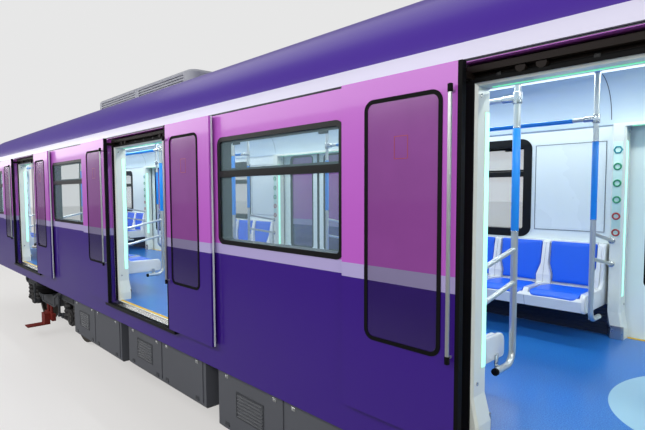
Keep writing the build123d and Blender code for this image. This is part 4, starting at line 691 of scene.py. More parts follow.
def install(name, parts, places, material, body="car_body"):
    """One finished piece, from a master's parts and the places of its copies."""
    master = joined(name, parts if isinstance(parts, list) else [parts])
    return finish(repeated(name, master, places), material, body)


def moved(x=0.0, y=0.0, z=0.0):
    """A place shifted from the middle."""
    return Matrix.Translation((x, y, z))


def mirrored(x=0.0, hand=1, side=1):
    """A place along the car, turned to one hand and one side."""
    return moved(x) @ Matrix.Diagonal((hand, side, 1.0, 1.0))


# Places of copies, from masters on the +X and +Y side
JAMBS = [mirrored(door, hand, side) for side in SIDES for door in DOORS for hand in HANDS]
DOORWAYS = [mirrored(door, 1, side) for side in SIDES for door in DOORS]
BOTH_SIDES = [mirrored(side=side) for side in SIDES]
BOTH_ENDS = [mirrored(hand=end) for end in ENDS]
CORNERS = [mirrored(0.0, end, side) for end in ENDS for side in SIDES]


# Doorway pieces


def portal_strips():
    """The lit strip in its bezel on each jamb's reveal."""
    near, far = SIDE_Y - 0.178, SIDE_Y - 0.132
    low, high = (REVEAL_HALF - 0.002, near, 1.530), (REVEAL_HALF + 0.004, far, 2.810)
    bezel = panel(low, high, (-1, 0, 0), 0.004, -0.001)
    install("portal_strip_bezels", soften(bezel, 0.0006, 1), JAMBS, "cream")
    lens = soft_block((REVEAL_HALF - 0.005, near + 0.005, 1.536), (REVEAL_HALF, far - 0.005, 2.804), 0.002, 3)
    install("portal_strip_lenses", lens, JAMBS, "mint")


def portal_screws():
    """The socket screws that hold the liner, two to a jamb."""
    screw = rod((REVEAL_HALF - 0.003, SIDE_Y - 0.098, 0), (0.005, 0, 0), 0.010, 18)
    soften(stepped(screw, (-1, 0, 0), 0.004, 0.0004, -0.002), 0.0008)
    places = [jamb @ moved(z=z) for jamb in JAMBS for z in (1.462, 2.880)]
    install("portal_screws", screw, places, "steel")


def notice_plates():
    """A blank plate with six blank rings on each jamb's face to the saloon."""
    low = (JAMB_FACE_X - 0.032, JAMB_FACE_Y - 0.0025, 2.026)
    plate = panel(low, (JAMB_FACE_X + 0.032, JAMB_FACE_Y, 2.80), (0, -1, 0), 0.003, 0.0008)
    install("notice_plates", soften(plate, 0.0006, 1), JAMBS, "mint_plate")
    # height, radius, sides, finish
    rings = [(2.735, 0.028, 6, "ring_teal")]
    rings += [(z, 0.024, 24, "ring_green") for z in (2.600, 2.465, 2.330)]
    rings += [(z, 0.024, 24, "ring_red") for z in (2.195, 2.060)]
    for number, (z, radius, steps, material) in enumerate(rings, start=1):
        mark = ring((JAMB_FACE_X, JAMB_FACE_Y - 0.0030, z), (0, 1, 0), radius, 0.014, steps)
        install(f"notice_rings_{number}", mark, JAMBS, material)


def kick_bases():
    """The folded steel base round each jamb's foot, in three facets."""
    inner = REVEAL_HALF - FOOT_FLARE - 0.0015
    y = SIDE_Y - JAMB_DEPTH - FOOT_FLARE / 2 - 0.0015
    base = block((inner, y, FLOOR_Z), (0.8015, INNER_Y, FLOOR_Z + 0.11))
    shift_edges(base, (-0.0535, 0, 0), lambda a, b: min(a.x, b.x) > 0.8 and max(a.y, b.y) < y + 0.001)
    round_edges(base, 0.012, 1, lambda a, b: max(a.x, b.x) < inner + 0.001 and max(a.y, b.y) < y + 0.001)
    shift_edges(base, (0.060, 0, 0), lambda a, b: (
        max(a.x, b.x) < inner + 0.001 and min(a.y, b.y) > INNER_Y - 0.001
    ))
    soften(stepped(base, (0, 0, 1), 0.002, 0.001, -0.003), 0.0008)
    install("kick_bases", base, JAMBS, "steel")


def header_lights():
    """The thin lit line under each header."""
    half = REVEAL_HALF - 0.03
    high = (half, SIDE_Y - 0.140, HEADER_LOW + 0.001)
    line = soft_block((-half, SIDE_Y - 0.155, HEADER_LOW - 0.003), high, 0.0015)
    install("header_lights", line, DOORWAYS, "green_line")


def threshold_strips():
    """The ribbed yellow strip, its pale edge and the dark grip ribs of each doorway."""
    half = REVEAL_HALF - FOOT_FLARE - 0.004
    low, high = (-half, INNER_Y + 0.006, FLOOR_Z - 0.001), (half, INNER_Y + 0.040, FLOOR_Z + 0.002)
    parts = [panel(low, high, (0, 0, 1), 0.003, 0.0006)]
    for i in range(4):
        y = INNER_Y + 0.013 + i * 0.007
        parts.append(soft_block((-half, y, FLOOR_Z), (half, y + 0.003, FLOOR_Z + 0.004), 0.001, 1))
    install("threshold_strips", parts, DOORWAYS, "yellow")
    low, high = (-half, INNER_Y + 0.041, FLOOR_Z - 0.001), (half, INNER_Y + 0.056, FLOOR_Z + 0.0025)
    edge = soft_block(low, high, 0.0012)
    install("threshold_edges", edge, DOORWAYS, "cream")
    rows = [SIDE_Y + 0.006 + i * 0.010 for i in range(5)]
    grips = [soft_block((-0.69, y, 1.154), (0.69, y + 0.004, 1.1575), 0.001, 1) for y in rows]
    install("sill_grips", grips, DOORWAYS, "rubber")


def leaf_trims():
    """The blank outline on each leaf's pane, and the black caps of its pull bar."""
    frames, caps = [], []
    upper = moved(z=1.598 + 2.917) @ Matrix.Diagonal((1.0, 1.0, -1.0, 1.0))
    for side, face, edge in LEAVES:
        middle = edge + 0.3335
        low, high = (middle - 0.042, face + 0.0002, 2.592), (middle + 0.042, face, 2.711)
        outline = flat_frame(low, high, 0.003, 0.001)
        cap = rod((edge + 0.043, face + 0.030, 1.592), (0, 0, 0.038), 0.0125, 18)
        soften(stepped(cap, (0, 0, -1), 0.003, 0.001, 0.002), 0.001)
        places = [mirrored(door, hand, side) for door in DOORS for hand in HANDS]
        frames.append(repeated("outlines", outline, places))
        caps.append(repeated("caps", cap, places + [place @ upper for place in places]))
    finish(joined("leaf_outlines", frames), "ring_red")
    finish(joined("bar_caps", caps), "rubber")


def door_belts():
    """The belt that draws the leaves, the strip over it and their clamps, above each doorway."""
    belt = block((-0.72, SIDE_Y - 0.0865, 2.955), (0.72, SIDE_Y - 0.0835, 2.969))
    soften(stepped(belt, (0, 1, 0), 0.003, 0.0005, -0.001), 0.0005, 1)
    install("door_belts", belt, DOORWAYS, "rubber")
    strip = soft_block((-0.74, SIDE_Y - 0.0870, 2.974), (0.74, SIDE_Y - 0.0840, 2.981), 0.0008)
    install("gear_strips", strip, DOORWAYS, "gear")
    clamps = []
    for x in (-0.60 + i * 0.20 for i in range(7)):
        low, high = (x - 0.012, SIDE_Y - 0.088, 2.953), (x + 0.012, SIDE_Y - 0.0825, 2.983)
        clamps.append(soft_block(low, high, 0.0012))
    install("gear_clamps", clamps, DOORWAYS, "black")


# Window and wall pieces


def hopper_sashes():
    """The sash round each hopper pane, with its two latches."""
    sashes, latches = [], []
    for x, width in WINDOWS:
        half = width / 2 - 0.036
        sash = flat_frame((-half, SIDE_Y - 0.0225, 2.592), (half, SIDE_Y - 0.0225, 2.816), 0.016, 0.008)
        sashes.append(repeated("sash", soften(sash, 0.002), [mirrored(x, 1, side) for side in SIDES]))
        latch = block((half - 0.20, SIDE_Y - 0.048, 2.786), (half - 0.13, SIDE_Y - 0.0265, 2.806))
        soften(stepped(latch, (0, -1, 0), 0.004, 0.001, 0.006), 0.0015)
        places = [mirrored(x, hand, side) for side in SIDES for hand in HANDS]
        latches.append(repeated("latch", latch, places))
    finish(joined("hopper_sashes", sashes), "black")
    finish(joined("hopper_latches", latches), "black")


def wall_panels():
    """The blank panels in a thin frame beside each window, on the saloon's walls."""
    edges, plates = [], []
    low, high = 2.050, 2.820
    for middle in (-DOOR_PITCH, 0.0, DOOR_PITCH):
        for hand in HANDS:
            x0, x1 = sorted((middle + hand * 0.735, middle + hand * 1.300))
            edges.append(flat_frame((x0, INNER_Y - 0.0015, low), (x1, INNER_Y, high), 0.004, 0.004))
            corner = (x0 + 0.006, INNER_Y - 0.0015, low + 0.006)
            plates.append(panel(corner, (x1 - 0.006, INNER_Y, high - 0.006), (0, -1, 0), 0.012, 0.0008))
    install("wall_panel_edges", edges, BOTH_SIDES, "thin_line")
    install("wall_panels", plates, BOTH_SIDES, "lining")


# Handrail pieces


def post_sleeves():
    """The azure sleeve of each stanchion and of each overhead rail's middle."""
    sleeve = rod((POST_X, POST_Y, 2.190), (0, 0, 0.585), POST_RADIUS + 0.0022, 28)
    soften(stepped(sleeve, (0, 0, 1), 0.001, 0.0004, -0.001, both=True), 0.0006)
    band = soft_rod((POST_X, POST_Y, CEILING_Z - 0.045), (0, 0, 0.030), POST_RADIUS + 0.004, 28, 0.002)
    install("post_sleeves", [sleeve, band], JAMBS, "blue")
    runs = [(DOORS[i] + POST_X, DOORS[i + 1] - POST_X) for i in range(3)]
    runs += [(DOORS[3] + POST_X, BODY_END - 0.08), (-BODY_END + 0.08, DOORS[0] - POST_X)]
    sleeves = []
    for x0, x1 in runs:
        run = (x1 - x0 - 0.314, 0, 0)
        sleeves.append(soft_rod((x0 + 0.157, POST_Y, RAIL_Z), run, RAIL_RADIUS + 0.002, 24, 0.0008))
    install("rail_sleeves", sleeves, BOTH_SIDES, "blue")


def post_fittings():
    """The collars, tees, ceiling flanges, foot brackets, feet and caps of the stanchions."""
    collar = POST_RADIUS + 0.002
    parts = [soft_rod((POST_X, POST_Y, z), (0, 0, 0.006), collar, 28, 0.001) for z in (2.184, 2.775)]
    parts.append(soft_rod((POST_X, POST_Y, RAIL_Z - 0.034), (0, 0, 0.068), POST_RADIUS + 0.006, 28, 0.004, 3))
    parts.append(soft_rod((POST_X, POST_Y, RAIL_Z), (0.085, 0, 0), RAIL_RADIUS + 0.006, 24, 0.004, 3))
    for z in SIDE_BAR_FEET:
        rosette = rod((POST_X, JAMB_FACE_Y - 0.007, z), (0, 0.007, 0), 0.026, 28)
        parts.append(soften(stepped(rosette, (0, -1, 0), 0.006, 0.002, 0.003), 0.0015))
    flange = rod((POST_X, POST_Y, CEILING_Z - 0.010), (0, 0, 0.010), 0.044, 32)
    parts.append(soften(stepped(flange, (0, 0, -1), 0.012, 0.004, 0.005), 0.0015))
    end_x = BENCH_INSET - END_THICK
    parts.append(soft_rod((POST_X, 0.790, POST_FOOT), (end_x - POST_X, 0, 0), 0.008, 16, 0.001, 1))
    plate = block((end_x - 0.005, 0.770, POST_FOOT - 0.018), (end_x, 0.810, POST_FOOT + 0.070))
    parts.append(soften(stepped(plate, (-1, 0, 0), 0.004, 0.001, 0.001), 0.0015))
    install("post_fittings", parts, JAMBS, "polished")
    tail = soft_rod((POST_X, POST_FOOT_Y - 0.02, POST_FOOT), (0, 0.08, 0), POST_RADIUS, 28, 0.001, 1)
    install("post_tails", tail, JAMBS, "post_steel")
    cap = rod((POST_X, POST_FOOT_Y + 0.05, POST_FOOT), (0, 0.018, 0), POST_RADIUS + 0.0015, 28)
    soften(stepped(cap, (0, 1, 0), 0.004, 0.001, 0.002), 0.0015)
    install("post_caps", cap, JAMBS, "rubber")


# Bench pieces


def padded_from(piece):
    """A pad swelled by cloth simulation from its closed start shape, no point further than the swell."""
    only(piece)
    piece.data.remesh_voxel_size = 0.006
    bpy.ops.object.voxel_remesh()
    start = [vertex.co.copy() for vertex in piece.data.vertices]
    cloth = piece.modifiers.new("fill", "CLOTH")
    cloth.settings.use_pressure = True
    cloth.settings.uniform_pressure_force = 4.0
    cloth.settings.effector_weights.gravity = 0.0
    cloth.settings.quality = 5
    for step in range(1, 21):
        bpy.context.scene.frame_set(step)
    only(piece)
    bpy.ops.object.modifier_apply(modifier=cloth.name)
    bpy.context.scene.frame_set(1)
    for vertex, place in zip(piece.data.vertices, start):
        move = vertex.co - place
        if move.length > PAD_SWELL:
            vertex.co = place + move.normalized() * PAD_SWELL
    modified(piece, "SMOOTH", iterations=4, factor=0.5)
    modified(piece, "DECIMATE", ratio=1200 / max(len(piece.data.polygons), 1200))
    bpy.ops.object.shade_smooth()
    return piece


def back_pad():
    """One back pad at the middle of its place: broad above, drawn in at the hips, leaning with the shell."""
    low, high = SEAT_TOP + 0.036, BACK_TOP + 0.001
    broad = SEAT_PITCH / 2 - RIB_HALF - 0.006
    waist = SEAT_PITCH / 2 - HIP_HALF - 0.006
    pad = block((-broad, -PAD_THICK + 0.007, low), (broad, -0.001, high))
    cut_at(pad, (0, 0, 1), (SEAT_TOP + 0.100, SEAT_TOP + 0.200))
    for hand in HANDS:
        shift_edges(pad, (hand * (waist - broad), 0, 0), lambda a, b: (
            max(a.z, b.z) < SEAT_TOP + 0.101 and min(a.x * hand, b.x * hand) > broad - 0.001
        ))
    round_edges(pad, 0.016, 4, lambda a, b: (
        abs(a.x - b.x) < 0.0001 and abs(a.z - b.z) < 0.0001 and max(a.z, b.z) > high - 0.001
    ))
    padded_from(pad)
    lean = Matrix.Rotation(-math.atan(BACK_SLOPE), 4, "X")
    pad.data.transform(moved(y=BACK_FOOT_Y, z=SEAT_TOP) @ lean @ moved(z=-SEAT_TOP))
    return pad


def seat_pad():
    """One seat pad at the middle of its place, rolled down at its front."""
    knee = SEAT_PITCH / 2 - 0.026
    waist = SEAT_PITCH / 2 - HIP_HALF - 0.004
    front, back = SEAT_FRONT + 0.002, BACK_FOOT_Y - RIB_PROUD - 0.002
    pad = block((-knee, front, SEAT_TOP + 0.001), (knee, back, SEAT_TOP + PAD_THICK - 0.006))
    cut_at(pad, (0, 1, 0), (front + 0.055, BACK_FOOT_Y - 0.140))
    for hand in HANDS:
        shift_edges(pad, (hand * (waist - knee), 0, 0), lambda a, b: (
            min(a.y, b.y) > back - 0.001 and min(a.x * hand, b.x * hand) > knee - 0.001
        ))
    shift_edges(pad, (0, 0, -0.034), lambda a, b: max(a.y, b.y) < front + 0.001)
    round_edges(pad, 0.050, 5, lambda a, b: (
        abs(a.x - b.x) < 0.0001 and abs(a.y - b.y) < 0.0001 and max(a.y, b.y) < front + 0.001
    ))
    return padded_from(pad)


def bench_pads():
    """The pads of every bench, copied from two masters."""
    masters = [back_pad(), seat_pad()]
    for side, word in ((-1, "near"), (1, "far")):
        for index, (start, count) in enumerate(BENCHES, start=1):
            places = [mirrored(start + (i + 0.5) * SEAT_PITCH, 1, side) for i in range(count)]
            copies = [repeated("pads", own_copy(master), places) for master in masters]
            pads = finish(joined(f"bench_pads_{word}_{index}", copies), "pad")
            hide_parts("seat_pads")
    for master in masters:
        bpy.data.objects.remove(master)


def bench_end_panels():
    """The rounded panel at each end of a bench, low at its nose and raised along the back."""
    front, low, nose = SEAT_FRONT - 0.018, SEAT_TOP - 0.110, SEAT_TOP + 0.036
    rises = (0.125, 0.244)
    top = nose + sum(rises)
    piece = block((-END_THICK, front, low), (0.0, INNER_Y, nose))
    cut_at(piece, (0, 1, 0), (1.060, 1.120))
    pick_faces(piece, lambda centre, normal: normal.z > 0.9 and centre.y > 1.10)
    for rise in rises:
        bpy.ops.mesh.extrude_region_move(TRANSFORM_OT_translate={"value": (0.0, 0.0, rise)})
    shift_edges(piece, (0, 0.042, 0), lambda a, b: min(a.z, b.z) > top - 0.001 and max(a.y, b.y) < 1.121)
    # radius, segments, and which edges across the panel it rounds
    rounds = [
        (0.055, 6, lambda a, b: max(a.y, b.y) < front + 0.001 and max(a.z, b.z) > SEAT_TOP),
        (0.030, 4, lambda a, b: max(a.y, b.y) < front + 0.001 and max(a.z, b.z) < low + 0.001),
        (0.090, 6, lambda a, b: abs(a.y - 1.120) < 0.001 and abs(a.z - nose) < 0.001),
        (0.030, 4, lambda a, b: min(a.z, b.z) > top - 0.001 and max(a.y, b.y) < 1.17),
    ]
    for radius, segments, test in rounds:
        round_edges(piece, radius, segments, lambda a, b: abs(a.x - b.x) > 0.01 and test(a, b))
    places = []
    for side in SIDES:
        for start, count in BENCHES:
            places += [mirrored(start, 1, side), mirrored(start + count * SEAT_PITCH, -1, side)]
    piece = install("bench_end_panels", soften(piece, 0.008, 3), places, "shell")
    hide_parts("bench_ends")


def under_bench_panels():
    """The dark ribbed cover on the wall beneath each bench, on to the jamb where it meets a doorway."""
    for index, (start, count) in enumerate(BENCHES, start=1):
        x0, x1 = start, start + count * SEAT_PITCH
        if any(abs(x0 - door - BENCH_INSET) < 0.02 for door in DOORS):
            x0 = x0 - COVER_REACH
        if any(abs(door - x1 - BENCH_INSET) < 0.02 for door in DOORS):
            x1 = x1 + COVER_REACH
        parts = [block((x0, INNER_Y - 0.012, FLOOR_Z + 0.004), (x1, INNER_Y, SEAT_TOP - 0.112))]
        for i in range(7):
            z = FLOOR_Z + 0.030 + i * 0.030
            low, high = (x0 + 0.03, INNER_Y - 0.019, z), (x1 - 0.03, INNER_Y - 0.011, z + 0.012)
            parts.append(soft_block(low, high, 0.003))
        install(f"under_bench_panels_{index}", parts, BOTH_SIDES, "navy")


def rib_seams():
    """The fine seam down each rib, and the one between two places in the front fascia."""
    foot_y, knee_z = BACK_FOOT_Y - RIB_PROUD, SEAT_TOP + RIB_PROUD
    # Y and Z of each seam's ends
    lines = [
        ((INNER_Y - 0.045 - RIB_PROUD, BACK_TOP - 0.020), (foot_y, SEAT_TOP + 0.104)),
        ((foot_y, SEAT_TOP + 0.102), (foot_y, knee_z)), ((foot_y, knee_z), (SEAT_FRONT + 0.056, knee_z)),
        ((SEAT_FRONT, SEAT_TOP - 0.024), (SEAT_FRONT + 0.021, SEAT_TOP - 0.108)),
    ]
    parts = [rod((0, y0, z0), (0, y1 - y0, z1 - z0), 0.0012, 6) for (y0, z0), (y1, z1) in lines]
    places = [
        mirrored(start + i * SEAT_PITCH, 1, side)
        for side in SIDES for start, count in BENCHES for i in range(1, count)
    ]
    install("rib_seams", parts, places, "thin_line")


# Ceiling pieces


def cove_seams():
    """The dark joints between the coves' panels, swept round each cove."""
    centre = (0.0, INNER_Y - 0.355, 2.990)
    strip = sheet((0.0, centre[1] + 0.340, centre[2]), (0.006, 0.002))
    edit(strip, action="SELECT")
    bpy.ops.mesh.spin(steps=18, angle=-math.pi / 2, center=centre, axis=(1.0, 0.0, 0.0))
    same_side(strip)
    places = [mirrored(door + hand * 0.81, 1, side) for door in DOORS for hand in HANDS for side in SIDES]
    install("cove_seams", strip, places, "thin_line")


def ceiling_grilles():
    """A slatted air outlet along the middle panel, one to each bay."""
    rim = block((-0.58, -0.24, CEILING_Z - 0.006), (0.58, 0.255, CEILING_Z + 0.002))
    parts = [soften(stepped(rim, (0, 0, -1), 0.025, 0.001, -0.004), 0.0015)]
    for i in range(9):
        y = -0.20 + i * 0.05
        parts.append(soft_block((-0.55, y, CEILING_Z - 0.010), (0.55, y + 0.018, CEILING_Z + 0.002), 0.002))
    places = [moved(door + hand * 1.07) for door in DOORS for hand in HANDS]
    install("ceiling_grilles", parts, places, "grey_plastic")


portal_strips()
portal_screws()
notice_plates()
kick_bases()
header_lights()
threshold_strips()
leaf_trims()
door_belts()
hopper_sashes()
wall_panels()
post_sleeves()
post_fittings()
bench_pads()
bench_end_panels()
under_bench_panels()
rib_seams()
cove_seams()
ceiling_grilles()


# Outside pieces


def bolt(place, along, radius, height):
    """A hexagon bolt head on its washer, low end at its place."""
    start, axis = Vector(place), Vector(along)
    head = rod(start, axis * height, radius, 6)
    pick_faces(head, lambda centre, normal: normal.dot(axis) > 0.9)
    bpy.ops.mesh.inset(thickness=radius * 0.25, depth=-height * 0.15)
    washer = rod(start - axis * 0.001, axis * (height * 0.25 + 0.001), radius * 1.35, 12)
    bpy.ops.object.shade_smooth_by_angle(angle=math.radians(40))
    return joined("bolt", [head, washer])


def disc(start, run, radius, sides, border, width, segments=2):
    """A softened rod with a border inset on both its ends."""
    return soften(stepped(rod(start, run, radius, sides), run, border, both=True), width, segments)


def roof_seams():
    """The sealing strips across the roof at each bay, and the lifting eyes of the cooling units."""
    reach = 0.830
    strip = sheet((0, 0, 0), (0.030, 2 * reach))
    cut_at(strip, (0, 1, 0), [i * reach / 8 for i in range(-7, 8)])
    for vertex in strip.data.vertices:
        vertex.co.z = ROOF_TOP + math.sqrt(ROOF_CROWN ** 2 - vertex.co.y ** 2) - ROOF_CROWN + 0.003
    soften(modified(strip, "SOLIDIFY", thickness=0.006), 0.0015)
    install("roof_seams", strip, [moved(i * DOOR_PITCH) for i in range(-2, 3)], "roof_seam")
    eye = ring((0, 0, 0), (0, 1, 0), 0.022, 0.011, 20, 8)
    foot = soft_rod((0, 0, -0.036), (0, 0, 0.016), 0.024, 16, 0.002)
    places = [
        moved(end * ROOF_UNIT_X + hand * 1.345, side * 0.5, ROOF_TOP)
        for end in ENDS for hand in HANDS for side in SIDES
    ]
    install("unit_lifting_eyes", [eye, foot], places, "polished")


def fan_blades():
    """The seven blades and the hub cap of each fan in the cooling units' wells."""
    blade = block((0.080, -0.045, -0.0015), (0.270, 0.045, 0.0015))
    round_edges(blade, 0.035, 4, lambda a, b: (
        abs(a.x - b.x) < 0.001 and abs(a.y - b.y) < 0.001 and min(a.x, b.x) > 0.26
    ))
    soften(blade, 0.0008, 1)
    blade.data.transform(Matrix.Rotation(math.radians(6), 4, "X"))
    fan = repeated("fan", blade, [Matrix.Rotation(math.radians(360 * i / 7), 4, "Z") for i in range(7)])
    cap = soften(stepped(rod((0, 0, 0), (0, 0, 0.012), 0.070, 32), (0, 0, 1), 0.012, 0.004, -0.003), 0.002)
    z = ROOF_UNIT_TOP - 0.0215
    places = [moved(end * ROOF_UNIT_X + hand * ROOF_FAN_SHIFT, 0.0, z) for end in ENDS for hand in HANDS]
    install("fan_blades", [fan, cap], places, "black")


def case_fittings():
    """Turn latches and hinges on each lid of the cases under the floor, and louvres on every other lid."""
    latches, hinges, louvres = [], [], []
    face = SIDE_Y - 0.063 + 0.008
    top = CASE_TOP - 0.024
    for first, last, side, drop in CASES:
        low = CASE_TOP - drop + 0.054
        x0, x1 = first * BAY + 0.100, last * BAY - 0.100
        pitch = (x1 - x0 - 0.090 + 0.024) / (last - first)
        for i in range(last - first):
            left = x0 + 0.045 + i * pitch
            right = left + pitch - 0.024
            for x in (left + 0.09, right - 0.09):
                latches.append(mirrored(x, 1, side) @ moved(y=face, z=top - 0.035))
                hinges.append(mirrored(x, 1, side) @ moved(y=face, z=low + 0.010))
            if i % 2 == 0:
                louvres.append(mirrored((left + right) / 2, 1, side) @ moved(y=face, z=(top + low) / 2))
    plate = block((-0.022, -0.001, -0.016), (0.022, 0.004, 0.016))
    soften(stepped(plate, (0, 1, 0), 0.005, 0.001, 0.004), 0.0015)
    knob = soft_rod((0, 0.007, 0), (0, 0.005, 0), 0.007, 12, 0.001, 1)
    install("case_latches", [plate, knob], latches, "polished")
    barrel = soft_rod((-0.030, 0.004, 0), (0.060, 0, 0), 0.006, 12, 0.001, 1)
    leaf = soft_block((-0.028, -0.001, 0.0), (0.028, 0.003, 0.030), 0.001, 1)
    install("case_hinges", [barrel, leaf], hinges, "grey")
    parts = []
    for z in (-0.080 + i * 0.028 for i in range(7)):
        slat = block((-0.16, -0.001, z - 0.012), (0.16, 0.010, z))
        shift_edges(slat, (0, -0.008, 0), lambda a, b: min(a.y, b.y) > 0.009 and min(a.z, b.z) > z - 0.001)
        parts.append(soften(slat, 0.001, 1))
    parts.append(flat_frame((-0.175, 0.002, -0.106), (0.175, 0.002, 0.106), 0.010, 0.005))
    install("case_louvres", parts, louvres, "grey")


def pipes():
    """Brake and cable pipes along the underframe with their clamps."""
    z = 0.985
    # Y, radius, finish
    runs = [(-0.34, 0.017, "steel"), (-0.28, 0.013, "steel"), (0.30, 0.022, "grey")]
    for number, (y, radius, material) in enumerate(runs, start=1):
        pipe = rod((-4.30, y, z), (8.60, 0, 0), radius)
        stepped(pipe, (1, 0, 0), radius * 0.3, 0.0005, -0.02, both=True)
        finish(joined(f"pipe_{number}", [soften(pipe, 0.001, 1)]), material)
    clamps = []
    for y, radius, material in runs:
        for x in (i * BAY for i in range(-4, 5)):
            low = (x - 0.015, y - radius - 0.008, z - radius - 0.004)
            clamps.append(soft_block(low, (x + 0.015, y + radius + 0.008, 1.012), 0.002, 1))
    finish(joined("pipe_clamps", clamps), "grey")


def reservoir_bands():
    """The straps and drain cocks of the air reservoirs."""
    z, parts = 0.750, []
    for middle in (-2.5 * BAY, -0.5 * BAY, 1.5 * BAY):
        for x in (middle - BAY / 2, middle + BAY / 2):
            parts.append(disc((x - 0.028, 0, z), (0.056, 0, 0), 0.175, 40, 0.004, 0.0015, 1))
        parts.append(soft_rod((middle, 0, z - 0.200), (0, 0, 0.035), 0.014, 12, 0.002, 1))
    finish(joined("reservoir_bands", parts), "case")


def compressor_fins():
    """The cooling fins round the compressor's motor."""
    xs = [BAY - 0.40 + i * 0.036 for i in range(14)]
    fins = [disc((x, 0.850, CASE_TOP - 0.266), (0.010, 0, 0), 0.202, 32, 0.003, 0.0012, 1) for x in xs]
    finish(joined("compressor_fins", fins), "case")


# Bogie pieces


def on_bogies(name, build, places, material):
    """A piece on each bogie, from places about the bogie's centre."""
    for end, centre in BOGIES.items():
        turned = [moved(centre) @ place for place in places]
        install(f"{name}_{end}", build(), turned, material, f"bogie_{end}")


def circle(count, first, radius):
    """X and Z of places evenly round a circle, the first at an angle in degrees."""
    angles = [math.radians(first + 360 * i / count) for i in range(count)]
    return [(math.cos(angle) * radius, math.sin(angle) * radius) for angle in angles]


def spring_cups():
    """The cup under each axlebox spring and the seat above it."""
    places = [(AXLE_SHIFT + hand * 0.225, 1.0175, z) for hand in HANDS for z in (0.4185, 0.6935)]
    return [disc(place, (0, 0, 0.014), 0.084, 28, 0.006, 0.003) for place in places]


def air_spring_plates():
    """The steel plates above and below each air spring."""
    sizes = ((0.692, 0.215), (0.948, 0.246))
    return [disc((0, 1.018, z), (0, 0, 0.010), radius, 40, 0.010, 0.002) for z, radius in sizes]


def frame_fittings():
    """A lifting lug, and a vertical damper between its brackets, on a bogie's side beam."""
    lug = block((1.28, 1.092, 0.742), (1.36, 1.117, 0.812))
    round_edges(lug, 0.022, 4, lambda a, b: abs(a.y - b.y) > 0.001 and min(a.z, b.z) < 0.743)
    parts = [soften(lug, 0.002), soft_rod((1.32, 1.102, 0.772), (0, 0.019, 0), 0.018, 20, 0.002)]
    for z, length, radius in ((0.600, 0.145, 0.026), (0.440, 0.160, 0.018)):
        parts.append(soft_rod((0.700, 1.128, z), (0, 0, length), radius, 20, 0.003))
    parts += [soft_rod((0.700, 1.098, z), (0, 0.052, 0), 0.030, 20, 0.004) for z in (0.450, 0.738)]
    parts.append(soft_block((0.675, 1.050, 0.395), (0.760, 1.100, 0.470), 0.003))
    return parts


def axlebox_bolt():
    """A bolt of an axlebox's end cover."""
    return bolt((0, -0.001, 0), (0, 1, 0), 0.011, 0.0065)


def motor_bolt():
    """A bolt of a motor's end plate."""
    return bolt((0, -0.001, 0), (0, 1, 0), 0.012, 0.010)


# Six bolts round each axlebox's end cover, and eight round each motor's end plate
AXLEBOX_BOLTS = [
    mirrored(side=side) @ moved(hand * AXLE_SHIFT + x, 1.087, AXLE_Z + z)
    for hand in HANDS for side in SIDES for x, z in circle(6, 30, 0.068)
]
MOTOR_BOLTS = [
    moved(hand * 0.640 + x, -hand * 0.560, AXLE_Z + z) @ mirrored(side=-hand)
    for hand in HANDS for x, z in circle(8, 22.5, 0.175)
]


# End pieces


def gangway_trims():
    """Bolts round each gangway ring, and the wear strip on its coupling face."""
    places = [(side * 0.675, 1.20 + i * 0.23) for i in range(9) for side in SIDES]
    places += [(-0.52 + i * 0.26, 3.195) for i in range(5)]
    turned = [mirrored(hand=end) @ moved(GANGWAY_FACE - 0.030, y, z) for end in ENDS for y, z in places]
    install("gangway_bolts", bolt((0, 0, 0), (-1, 0, 0), 0.012, 0.008), turned, "polished")
    strip = flat_frame((-0.665, 0.0, 1.100), (0.665, 0.0, 3.215), 0.030, 0.012)
    strip.data.transform(moved(GANGWAY_FACE + 0.001) @ Matrix.Rotation(math.pi / 2, 4, "Z"))
    install("gangway_strips", strip, BOTH_ENDS, "rubber")


def tread_plates():
    """The raised pattern of the gangway's tread."""
    parts = []
    for i in range(9):
        for j in range(3):
            bar = block((-0.020, -0.0035, -0.001), (0.020, 0.0035, 0.0022))
            turn = Matrix.Rotation(math.radians(45 if (i + j) % 2 else -45), 4, "Z")
            bar.data.transform(moved(9.33 + j * 0.09, -0.48 + i * 0.12, FLOOR_Z) @ turn)
            parts.append(soften(bar, 0.001, 1))
    install("tread_bars", parts, BOTH_ENDS, "steel")


def end_handrails():
    """Grab rails and jumper sockets on each end wall."""
    parts = [soft_rod((9.285, 0.980, 1.45), (0, 0, 0.80), 0.013, 16, 0.002)]
    for z in (1.48, 2.22):
        parts.append(soft_rod((9.248, 0.980, z), (0.037, 0, 0), 0.010, 14, 0.001, 1))
        parts.append(soft_rod((9.248, 0.980, z), (0.006, 0, 0), 0.026, 18, 0.0015, 1))
    install("end_handrails", parts, CORNERS, "steel")
    case = block((9.249, 0.800, 1.02), (9.330, 1.010, 1.20))
    parts = [soften(stepped(case, (1, 0, 0), 0.015, 0.002, -0.006), 0.006)]
    for y in (0.855, 0.955):
        parts.append(soft_rod((9.320, y, 1.11), (0.030, 0, 0), 0.036, 24, 0.004))
        parts.append(soft_block((9.320, y - 0.016, 1.142), (9.356, y + 0.016, 1.156), 0.003))
    install("jumper_sockets", parts, CORNERS, "case")


